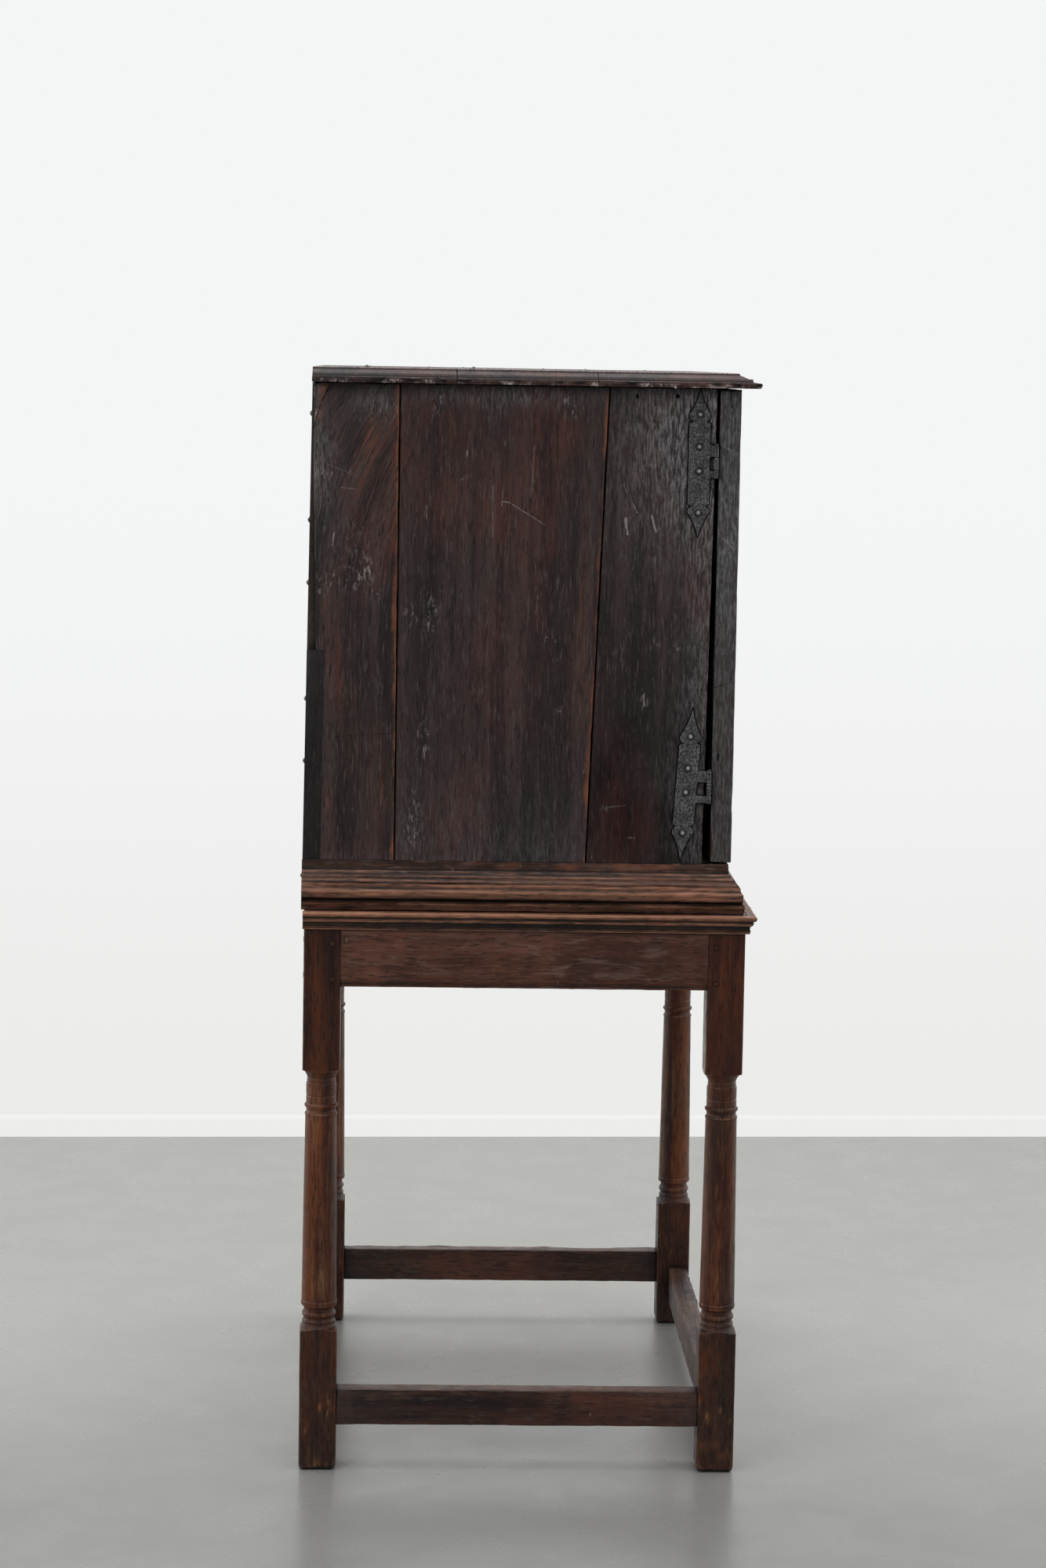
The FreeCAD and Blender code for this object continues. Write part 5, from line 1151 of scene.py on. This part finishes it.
def top_board(name, seed):
    """A board of the top. Its height falls towards each moulded edge by the edge's section."""
    low, high = corner_box(name)
    steps = np.array([0.4, 1.0, 1.8, 3.0, 4.2, 5.4, 6.6, 8.0, 9.4, 10.8, 11.8, 14, 17, 20, 22, 23.4, 24.4,
                      25.6, 27, 28, 32])
    x_lines = np.concatenate([NOSE["left"] + steps, NOSE["right"] - steps])
    y_lines = NOSE["front"] + steps if name.endswith("front") else ()
    if name.endswith("front"):
        mouth = [[start, start + 0.2, stop - 0.2, stop] for start, stop in SOCKET[:2]]
        x_lines, y_lines = np.append(x_lines, mouth[0]), np.append(y_lines, mouth[1])
    points, faces, low, high = block(low, high, 0.8, 8.0, (x_lines, y_lines, ()))
    inset = np.minimum(points[:, 0] - NOSE["left"], NOSE["right"] - points[:, 0])
    if name.endswith("front"):
        inset = np.minimum(inset, points[:, 1] - NOSE["front"])
    else:
        points = soft_edges(points, low, high, 0.8, seed)
    ceiling = np.maximum(np.interp(inset, top_profile[:, 0], top_profile[:, 1]), 0.26 * TOP_EDGE_HEIGHT)
    floor = np.interp(inset, [0, 0.8, 2.0], [0.16 * TOP_EDGE_HEIGHT, 0.05 * TOP_EDGE_HEIGHT, 0.0])
    share = (points[:, 2] - low[2]) / (high[2] - low[2])
    points[:, 2] = low[2] + floor + (ceiling - floor) * share
    in_socket = share < 1e-6
    for axis in (0, 1):
        in_socket &= (points[:, axis] > SOCKET[axis][0] + 0.1) & (points[:, axis] < SOCKET[axis][1] - 0.1)
    points = tired(points, faces, 0.5, seed, 50.0)
    broken = smooth_step(-inset, -9, 0) * smooth_step(noise(points, (9, 14, 9), seed + 4), 0.45, 0.8)
    split = np.zeros(len(points))
    if name.endswith("back"):
        split = 2.2 * np.exp(-((points[:, 1] - 216) / 1.6) ** 2) * smooth_step(-inset, -16, -2)
    points = lean(sink(points, faces, 1.3 * broken + split))
    points[in_socket, 2] = SOCKET[2]
    # A broken painted highlight along the lower arris of each moulded edge, carried in the blush.
    lower_arris_highlight = np.exp(-(inset / 2.2) ** 2) * smooth_step(low[2] + 4.5 - points[:, 2], -1.5, 1.0)
    glow = 1.1 * lower_arris_highlight * smooth_step(noise(points, (7, 13, 7), seed + 6), -0.15, 0.25)
    soot = 0.35 * smooth_step(inset, 10, 60)
    make(name + "_worn", points * MM, faces, top_oak,
         extra={"blush": np.clip(glow, 0, 0.95), "soot": soot})


for number, name in enumerate(("top_board_back", "top_board_middle", "top_board_front")):
    top_board(name, 111 + number)


# The doors

CHAMFER = 6.0


def frustum_push(opening, front):
    """Chamfer round an opening: points inside the cut move to its nearest sloping face."""
    (x_low, x_high), (z_low, z_high) = opening

    def rule(points):
        deep = points[:, 1] - front
        room = CHAMFER - deep
        outside = np.stack([
            points[:, 0] - (x_low - room),
            (x_high + room) - points[:, 0],
            points[:, 2] - (z_low - room),
            (z_high + room) - points[:, 2],
        ])
        inside = (outside > 0).all(axis=0) & (room > 0)
        nearest = outside.argmin(axis=0)
        amount = outside.min(axis=0) / 2
        moved = points.copy()
        for face, (axis, sign) in enumerate(((0, -1), (0, 1), (2, -1), (2, 1))):
            chosen = inside & (nearest == face)
            moved[chosen, axis] += sign * amount[chosen]
            moved[chosen, 1] += amount[chosen]
        return moved
    return rule


def near_lines(values):
    """Close lattice lines on both sides of a few values."""
    offsets = (-7.5, -6.3, -5, -3.5, -2, -1, 0, 1, 2.5)
    return [value + sign * offset for value in values for offset in offsets for sign in (-1, 1)]


def door(side_name):
    """A framed door: two stiles, two rails and a fielded panel."""
    label = f"door_{side_name}_"
    hinge_low, hinge_high = corner_box(label + "hinge_stile")
    meeting_low, meeting_high = corner_box(label + "meeting_stile")
    foot_high = corner_box(label + "foot_rail")[1]
    top_rail_low = corner_box(label + "top_rail")[0]
    left_stile = (hinge_low, hinge_high) if side_name == "left" else (meeting_low, meeting_high)
    right_stile = (meeting_low, meeting_high) if side_name == "left" else (hinge_low, hinge_high)
    x_open = (left_stile[1][0], right_stile[0][0])
    z_open = (foot_high[2], top_rail_low[2])
    front = hinge_low[1]
    push = frustum_push((x_open, z_open), front)
    depth_lines = [front + value for value in (1, 2, 3.2, 4.6, 6, 7.5)]
    grid = (near_lines(x_open), depth_lines, near_lines(z_open))
    seed = 121 if side_name == "left" else 141

    outer = hinge_low[0] if side_name == "left" else hinge_high[0]

    # The door's outer edge is painted grey, more so towards the top: weathered grey, and painted light that
    # lifts the dark edge.
    def edge_grey_and_light(points):
        edge = np.exp(-(np.abs(points[:, 0] - outer) / 3.5) ** 2)
        return edge * (0.55 + 0.4 * smooth_step(points[:, 2], 1080, 1290))

    def worn_edge(points):
        zone = np.exp(-np.abs(points[:, 0] - outer) / 7.0)
        low_down = 1 - smooth_step(points[:, 2], 900, 960)
        gouge = smooth_step(noise(points, (7, 7, 22), seed + 9), 0.15, 0.7)
        return zone * gouge * (0.5 + 1.5 * low_down)

    def shadowed(points):
        return 0.95 * smooth_step(points[:, 2], hinge_high[2] - 3.2, hinge_high[2] - 1.2)

    for stile in ("hinge", "meeting"):
        member(label + stile + "_stile", stile_oak, 1.2, 0.35, seed, 9.0, clip=push, grid=grid,
               extra={"soot": edge_grey_and_light, "seam": shadowed}, wear_more=worn_edge if stile == "hinge" else None)
        seed += 1
    for name in ("top_rail", "foot_rail"):
        low, high = corner_box(label + name)
        low[0], high[0] = x_open
        member(label + name, door_cross_oak, 1.0, 0.3, seed, 9.0, (low, high), clip=push, grid=grid)
        seed += 1

    low, high = corner_box(label + "panel")
    board_front = front + 14.5 - 3.25
    steps = np.array([1, 4, 8, 9.6, 12, 18, 24, 30, 34.5, 35.2, 36, 36.6, 38])
    x_lines = np.concatenate([low[0] + steps, high[0] - steps])
    z_lines = np.concatenate([low[2] + steps, high[2] - steps])
    points, faces, low, high = block(low, high, 1.0, 10.0, (x_lines, (), z_lines))
    inset = np.minimum(np.minimum(points[:, 0] - low[0], high[0] - points[:, 0]),
                       np.minimum(points[:, 2] - low[2], high[2] - points[:, 2]))
    rise = np.interp(inset, [0, 9, 34.4, 35.8], [0, 0.2, 3.9, 5.5])
    face = board_front - rise
    share = (points[:, 1] - low[1]) / (high[1] - low[1])
    points[:, 1] = face + (high[1] - face) * share
    points = tired(points, faces, 0.4, seed, 60.0)
    field = 0.18 * smooth_step(noise(points, (70, 70, 160), seed + 1), 0.0, 0.7)
    make(label + "panel_worn", points * MM, faces, panel_oak, extra={"blush": field})


for side_name in X_SIDES:
    door(side_name)


# Pieces that keep their CAD form: edges eased, surfaces dressed

def islands(name):
    """Vertex arrays of a CAD node's separate solids, in metres."""
    work = welded(name)
    left = set(work.verts)
    found = []
    while left:
        stack = [left.pop()]
        island = []
        while stack:
            vertex = stack.pop()
            island.append(vertex)
            for edge in vertex.link_edges:
                other = edge.other_vert(vertex)
                if other in left:
                    left.remove(other)
                    stack.append(other)
        found.append(np.array([vertex.co for vertex in island]))
    work.free()
    return sorted(found, key=lambda part: tuple(np.round(part.mean(0), 4)))


BOARD_TONES = (0.0, 0.5, 0.2, 0.65, 0.1, 0.4)


def eased(name, material, width=0.8, leaning=False):
    """A copy of a CAD node with its sharp edges bevelled."""
    work = welded(name)
    bmesh.ops.dissolve_limit(work, angle_limit=math.radians(2), verts=work.verts, edges=work.edges)
    sharp = [edge for edge in work.edges if len(edge.link_faces) == 2 and edge.calc_face_angle() > 0.6]
    bmesh.ops.bevel(work, geom=sharp, offset=width * MM, segments=2, profile=0.6, affect="EDGES",
                    clamp_overlap=True)
    bmesh.ops.triangulate(work, faces=[face for face in work.faces if len(face.verts) > 4])
    if leaning:
        moved = lean(np.array([vertex.co for vertex in work.verts]) / MM) * MM
        for vertex, place in zip(work.verts, moved):
            vertex.co = place
    mesh = bpy.data.meshes.new(name + "_eased")
    work.to_mesh(mesh)
    work.free()
    add_layer(mesh, "rim", [NO_RIM] * len(mesh.vertices))
    if name.endswith("boards"):
        places = np.array([vertex.co for vertex in mesh.vertices])
        depth = np.zeros(len(places))
        for number, part in enumerate(islands(name)):
            inside = ((places > part.min(0) - 2e-4) & (places < part.max(0) + 2e-4))[:, 1:].all(axis=1)
            depth[inside] = BOARD_TONES[number % len(BOARD_TONES)]
        add_layer(mesh, "soot", depth)
    piece = linked(name + "_eased", mesh, material)
    mesh.shade_smooth()
    mesh.set_sharp_from_angle(angle=math.radians(40))
    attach(piece, BODY_OF[name])
    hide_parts(name)


eased("back_boards", back_oak, 2.0, True)
for name in ("bottom_boards", "shelf_boards"):
    eased(name, dry_x_oak, 1.2)
eased("shelf_ledgers", dry_y_oak, 1.2)
eased("base_rail", rail_x_oak, 0.8)
eased("side_left_repair_strip", strip_oak, 0.6, True)
for name in ("lock_case", "lock_bolt", "lock_keep", "door_bolt", "door_bolt_guide", "escutcheon"):
    eased(name, wrought, 0.35)


def forged(name, voxel=0.9, dent=0.35, seed=5):
    """A copy of a CAD node with a hammered, softened surface."""
    piece = linked(name + "_forged", frame["nodes"][name].data.copy())
    remesh = piece.modifiers.new("remesh", "REMESH")
    remesh.mode = "VOXEL"
    remesh.voxel_size = voxel * MM
    graph = bpy.context.evaluated_depsgraph_get()
    dense = bpy.data.meshes.new_from_object(piece.evaluated_get(graph))
    piece.modifiers.clear()
    points = np.array([vertex.co for vertex in dense.vertices]) / MM
    faces = np.array([tuple(polygon.vertices) for polygon in dense.polygons])
    edges = edges_of(faces)
    for _ in range(2):
        points = points * 0.5 + around(points, edges, len(points)) * 0.5
    points = sink(points, faces, dent * (0.5 + 0.5 * noise(points, 5.5, seed)))
    bpy.data.objects.remove(piece)
    bpy.data.meshes.remove(dense)
    extra = {}
    if name.startswith("hinge_plates"):
        side_name = name.removeprefix("hinge_plates_")
        # Painted shade: dark along the plate's outline and in a ring round each nail head.
        seam = np.exp(-(from_outline(points, plate_outline(side_name)) / 0.9) ** 2)
        for centre in nail_centres(side_name):
            from_head = np.linalg.norm(points[:, 1:] - centre, axis=1) - 4.7
            seam = np.maximum(seam, np.exp(-(from_head / 0.9) ** 2))
        extra["seam"] = 0.8 * seam
    make(name + "_forged", points * MM, faces, wrought, nodes=[name], extra=extra)


def nail_centres(side_name):
    """The hinge nails of a side, as places (y, z)."""
    parts = [part / MM for part in islands("hinge_nails")]
    on_side = [part for part in parts if part[:, 0].mean() * X_SIDES[side_name] > 0]
    return [(part.max(0) + part.min(0))[1:] / 2 for part in on_side]


for side_name in X_SIDES:
    forged("hinge_plates_" + side_name)
    forged("hinge_leaves_" + side_name, 0.8, 0.2)
forged("hinge_pins", 0.5, 0.1)


NAIL_RADIUS, NAIL_HEIGHT = 4.25, 3.0
# How deep most nails of the top are driven, and the places along Y of the two that still stand proud
NAIL_SUNK = 2.3
PROUD_NAILS = (225.9, 83.7)


def cap_faces(ring, tip, sides):
    """Triangles from a ring of points to a tip."""
    return [[ring + k, ring + (k + 1) % sides, tip] for k in range(sides)]


def nail_faces(base, sides, rings=5):
    """A nail head: rings, then the points of its tip and its foot."""
    tip = base + rings * sides
    return ((base + ring_quads(rings, sides)).tolist() + cap_faces(tip - sides, tip, sides)
            + cap_faces(base, tip + 1, sides))


def rose_heads(name, axis, sign, seed):
    """Forged nails: an uneven faceted head on each CAD nail."""
    rng = np.random.default_rng(seed)
    points = []
    faces = []
    sides = 14
    rings = ((0.96, -0.6), (1.0, 0.25), (0.86, 0.9), (0.5, 2.2), (0.22, 2.85))
    for part in islands(name):
        part = part / MM
        outward = part[:, axis].max() if sign > 0 else part[:, axis].min()
        centre = (part.max(0) + part.min(0)) / 2
        if name == "top_nails" and not (centre[0] < 0 and min(abs(centre[1] - y) for y in PROUD_NAILS) < 3):
            outward -= NAIL_SUNK
        others = [a for a in range(3) if a != axis]
        seat = outward - sign * NAIL_HEIGHT
        base = len(points)
        turn = rng.uniform(0, 1)
        for ring, (spread, rise) in enumerate(rings):
            for k in range(sides):
                angle = 2 * math.pi * (k / sides) + turn
                facet = min(1 + 0.10 * math.cos(4.5 * angle + turn * 5) + rng.uniform(-0.05, 0.05), 1.0)
                spot = np.zeros(3)
                spot[axis] = seat + sign * rise * (1 + rng.uniform(-0.06, 0.0) if ring > 1 else 1)
                spot[others[0]] = centre[others[0]] + NAIL_RADIUS * spread * facet * math.cos(angle)
                spot[others[1]] = centre[others[1]] + NAIL_RADIUS * spread * facet * math.sin(angle)
                points.append(spot)
        for level in (outward - sign * 0.05, seat - sign * 0.6):
            spot = centre.copy()
            spot[axis] = level
            points.append(spot)
        faces += nail_faces(base, sides)
    points = np.array(points)
    if axis == 1:
        points = lean(points)
    face_outwards(make(name + "_heads", points * MM, faces, wrought, nodes=[name]))


rose_heads("top_nails", 2, 1, 201)
rose_heads("back_nails", 1, 1, 202)


def hinge_nail_heads():
    """The hinge nails point inwards on both sides."""
    rng = np.random.default_rng(203)
    points = []
    faces = []
    sides = 16
    rings = ((0.98, -0.4), (1.0, 0.35), (0.9, 1.1), (0.62, 2.2), (0.25, 2.85))
    for part in islands("hinge_nails"):
        part = part / MM
        sign = 1 if part[:, 0].mean() > 0 else -1
        outward = part[:, 0].max() if sign > 0 else part[:, 0].min()
        centre = (part.max(0) + part.min(0)) / 2
        seat = outward - sign * NAIL_HEIGHT
        base = len(points)
        turn = rng.uniform(0, 1)
        for spread, rise in rings:
            for k in range(sides):
                angle = 2 * math.pi * k / sides + turn
                facet = min(1.0, 0.95 + 0.08 * math.cos(5 * angle + turn * 5) + rng.uniform(-0.04, 0.04))
                points.append((seat + sign * rise,
                               centre[1] + NAIL_RADIUS * spread * facet * math.cos(angle),
                               centre[2] + NAIL_RADIUS * spread * facet * math.sin(angle)))
        points.append((outward - sign * 0.05, centre[1], centre[2]))
        points.append((seat - sign * 0.4, centre[1], centre[2]))
        faces += nail_faces(base, sides)
    count = len(points) // (len(rings) * sides + 2)
    # A painted highlight on each head's upper rings and tip, and painted shade on its lowest rings and foot.
    tip_highlight = np.tile(np.append(np.repeat([0.0, 0.0, 0.05, 0.2, 0.5], sides), [0.5, 0.0]), count)
    foot_shade = np.tile(np.append(np.repeat([0.8, 0.3, 0.0, 0.0, 0.0], sides), [0.0, 0.8]), count)
    face_outwards(make("hinge_nails_heads", np.array(points) * MM, faces, wrought, nodes=["hinge_nails"],
                       extra={"wear": tip_highlight, "seam": foot_shade}))


hinge_nail_heads()


def tacks(name, body, spots, seed, radius=2.4, rise=0.9):
    """Small nail heads on an iron part's back face, facing +Y. A spot is x, y and z in millimetres."""
    rng = np.random.default_rng(seed)
    points = []
    faces = []
    sides = 10
    for spot in spots:
        base = len(points)
        turn = rng.uniform(0, 1)
        for spread, lift in ((1.0, -0.3), (0.96, 0.25), (0.6, 0.75)):
            for k in range(sides):
                angle = 2 * math.pi * k / sides + turn
                reach = radius * spread * (1 - rng.uniform(0, 0.1))
                points.append((spot[0] + reach * math.cos(angle), spot[1] + lift * rise,
                               spot[2] + reach * math.sin(angle)))
        points.append((spot[0], spot[1] + rise, spot[2]))
        points.append((spot[0], spot[1] - 0.3 * rise, spot[2]))
        faces += nail_faces(base, sides, 3)
    piece = make(name, np.array(points) * MM, faces, wrought, nodes=[], body=body)
    face_outwards(piece)


LEAF_FACE = -243.9
LEAF_HEIGHTS = (941.5, 1379)
LEAF_TACKS = ((382, 11), (382, -11), (345, 0))
for side_name, sign in X_SIDES.items():
    tacks(f"leaf_nails_{side_name}", f"door_{side_name}",
          [(sign * x, LEAF_FACE, z + step) for z in LEAF_HEIGHTS for x, step in LEAF_TACKS], 231)
lock_low, lock_high = corner_box("lock_case")
tacks("lock_nails", "door_right", [(x, lock_high[1], z) for x in (lock_low[0] + 5, lock_high[0] - 5)
                                   for z in (lock_low[2] + 5, lock_high[2] - 5)], 232)
guide_low, guide_high = corner_box("door_bolt_guide")
guide_middle = (guide_low[0] + guide_high[0]) / 2
tacks("guide_nails", "door_left", [(guide_middle + side * 9, guide_low[1] + 1.5, z) for side in (-1, 1)
                                   for z in (guide_low[2] + 6, guide_high[2] - 6)], 233, 2.0)


def peg_ends(name, seed):
    """Round oak pegs, a little uneven at their ends."""
    points = []
    faces = []
    sides = 14
    rng = np.random.default_rng(seed)
    for part in islands(name):
        part = part / MM
        size = part.max(0) - part.min(0)
        axis = int(np.argmax(size))
        others = [a for a in range(3) if a != axis]
        radius = size[others[0]] / 2
        centre = (part.max(0) + part.min(0)) / 2
        ends = (part[:, axis].min(), part[:, axis].max())
        base = len(points)
        rings = ((ends[0], 0.55), (ends[0] + 0.15, 0.9), (ends[0] + 0.6, 1.0), (ends[1] - 0.6, 1.0),
                 (ends[1] - 0.15, 0.9), (ends[1], 0.55))
        for level, spread in rings:
            for k in range(sides):
                angle = 2 * math.pi * k / sides
                wobble = radius * spread * (1 - rng.uniform(0, 0.06))
                spot = centre.copy()
                spot[axis] = level
                spot[others[0]] += wobble * math.cos(angle)
                spot[others[1]] += wobble * math.sin(angle)
                points.append(spot)
        faces += (base + ring_quads(len(rings), sides)).tolist()
        faces.append([base + k for k in range(sides)][::-1])
        faces.append([base + 5 * sides + k for k in range(sides)])
    material = leg_oak if name == "stand_pegs" else stile_oak
    # Painted shade on the peg's sides next to each end, where it meets the wood.
    shade_rings = np.repeat([0.0, 0.55, 0.95, 0.95, 0.55, 0.0], sides)
    piece = make(name + "_ends", np.array(points) * MM, faces, material, nodes=[name],
                 extra={"blush": np.full(len(points), 0.3),
                        "seam": np.tile(shade_rings, len(points) // len(shade_rings))})
    face_outwards(piece)
    piece.data.set_sharp_from_angle(angle=math.radians(50))


for number, name in enumerate(("stand_pegs", "door_left_pegs", "door_right_pegs")):
    peg_ends(name, 211 + number)


# Floor, wall, light and camera

def flat(name, corners, material):
    """A flat surface of the stage."""
    mesh = bpy.data.meshes.new(name)
    mesh.from_pydata(corners, [], [(0, 1, 2, 3)])
    linked(name, mesh, material)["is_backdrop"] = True


def backdrop_paint(name, low, high, from_level, to_level):
    """A white surface that the camera and reflections see plainly, whatever light falls on it."""
    paint = Paint(name)
    path = paint.add("ShaderNodeLightPath")
    sight = paint.most(path.outputs["Is Camera Ray"], path.outputs["Is Glossy Ray"])
    sight = paint.most(sight, path.outputs["Is Transmission Ray"])
    level = paint.add("ShaderNodeSeparateXYZ", {"Vector": paint.place}).outputs["Z"]
    tone = paint.mix(paint.ramp(level, from_level, to_level), low, high)
    lit = paint.add("ShaderNodeBsdfDiffuse", {"Color": (0.8, 0.8, 0.8, 1.0)})
    plain = paint.add("ShaderNodeEmission", {"Color": tone, "Strength": 1.0})
    both = paint.add("ShaderNodeMixShader", {0: sight, 1: lit.outputs[0], 2: plain.outputs[0]})
    behind = paint.add("ShaderNodeNewGeometry").outputs["Backfacing"]
    clear = paint.add("ShaderNodeBsdfTransparent")
    shown = paint.add("ShaderNodeMixShader", {0: behind, 1: both.outputs[0], 2: clear.outputs[0]})
    paint.tree.links.new(shown.outputs[0], paint.output.inputs["Surface"])
    return paint.material


def floor_paint():
    """Grey polished concrete, with painted light lifting the stand's shadow."""
    paint = Paint("floor_grey")
    clouds = paint.noise(paint.place, 1.3, 5.0, 0.62, 0.4)
    fine = paint.noise(paint.place, 9.0, 5.0, 0.65, 0.3)
    grit = paint.noise(paint.place, 160.0, 2.0, 0.6)
    body = paint.mix(paint.ramp(clouds, 0.32, 0.68), (0.285, 0.283, 0.268), (0.335, 0.333, 0.318))
    body = paint.mix(paint.ramp(fine, 0.35, 0.8, 0.0, 0.35), body, (0.265, 0.263, 0.25))
    body = paint.mix(paint.ramp(grit, 0.45, 0.75, 0.0, 0.05), body, (0.16, 0.16, 0.15))
    inwards = paint.add("ShaderNodeSeparateXYZ", {"Vector": paint.place}).outputs["X"]
    # Painted light: lighter from in front of the stand to under it, and a little darker again towards the
    # wall, against the stand's shadow on the floor.
    body = paint.mix(paint.ramp(inwards, -0.75, 0.1, 0.0, 0.8), body, (0.50, 0.495, 0.465))
    body = paint.mix(paint.ramp(inwards, 0.25, 1.1, 0.0, 0.22), body, (0.25, 0.245, 0.23))
    return paint.finish({"Base Color": body, "Roughness": paint.ramp(fine, 0.3, 0.7, 0.26, 0.33)})


WALL_AT = 1.79
WALL_SKEW = 0.046
SKIRTING = 0.043


def wall_foot(y, forward=0.0):
    """Where the wall meets the floor: X at a place along Y, or nearer the camera by some metres."""
    return WALL_AT - forward - WALL_SKEW * y


# The wall's tone rises from the floor to 1.3 m: painted shading, darker low on the wall.
flat("wall", [(wall_foot(6), 6, 0), (wall_foot(-6), -6, 0), (wall_foot(-6), -6, 6), (wall_foot(6), 6, 6)],
     backdrop_paint("wall_white", (0.835, 0.838, 0.825), (0.905, 0.915, 0.915), 0.0, 1.3))
# The skirting is lighter along its top: a painted highlight line.
flat("skirting", [(wall_foot(6, 0.012), 6, 0), (wall_foot(-6, 0.012), -6, 0),
                  (wall_foot(-6, 0.012), -6, SKIRTING), (wall_foot(6, 0.012), 6, SKIRTING)],
     backdrop_paint("skirting_white", (0.84, 0.84, 0.825), (0.90, 0.90, 0.89), 0.7 * SKIRTING, SKIRTING))
flat("floor", [(x, y, 0) for x, y in ((-9, -6), (9, -6), (9, 6), (-9, 6))], floor_paint())


def lamp(name, spot, aim, size, power):
    """An area lamp that faces a place."""
    data = bpy.data.lights.new(name, "AREA")
    data.shape = "RECTANGLE"
    data.size, data.size_y = size
    data.energy = power
    thing = linked(name, data)
    thing.location = spot
    thing.rotation_mode = "QUATERNION"
    thing.rotation_quaternion = (Vector(aim) - Vector(spot)).to_track_quat("-Z", "Y")


lamp("ceiling", (0.5, 0.0, 4.4), (0.5, 0.0, 0.0), (4.5, 6.5), 185)
lamp("window", (-4.2, 3.4, 2.9), (-0.3, 0.0, 1.1), (1.4, 1.6), 50)
lamp("fill", (-4.0, -3.8, 2.4), (-0.3, 0.0, 1.0), (1.2, 1.6), 26)
lamp("low_left", (0.6, 3.6, 1.0), (0.1, 0.0, 0.0), (2.2, 0.8), 18)
lamp("low_right", (0.6, -3.6, 1.0), (0.1, 0.0, 0.0), (2.2, 0.8), 18)

world = bpy.data.worlds.new("studio")
world.use_nodes = True
background = world.node_tree.nodes["Background"].inputs
background["Color"].default_value = (0.94, 0.96, 1.0, 1.0)
background["Strength"].default_value = 0.22
bpy.context.scene.world = world

FOCAL = 85.0
CAMERA_AT = (-5.3471, 0.1885, 1.512)
YAW, PITCH, ROLL = math.radians(-2.0753), math.radians(6.5252), math.radians(0.9807)
forward = Vector((math.cos(YAW) * math.cos(PITCH), math.sin(YAW) * math.cos(PITCH), -math.sin(PITCH)))
across = Vector((math.sin(YAW), -math.cos(YAW), 0.0))
upright = across.cross(forward)
right = across * math.cos(ROLL) + upright * math.sin(ROLL)
up = upright * math.cos(ROLL) - across * math.sin(ROLL)
camera_data = bpy.data.cameras.new("camera")
camera_data.lens = FOCAL
camera_data.sensor_width = 36.0
camera_data.clip_end = 100.0
camera = linked("camera", camera_data)
turn = Matrix((right, up, -forward)).transposed()
camera.matrix_world = Matrix.Translation(CAMERA_AT) @ turn.to_4x4()
bpy.context.scene.camera = camera
bpy.context.scene.view_settings.view_transform = "Standard"

boxes = [[list(corner) for corner in box] for box in (cad_box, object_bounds())]
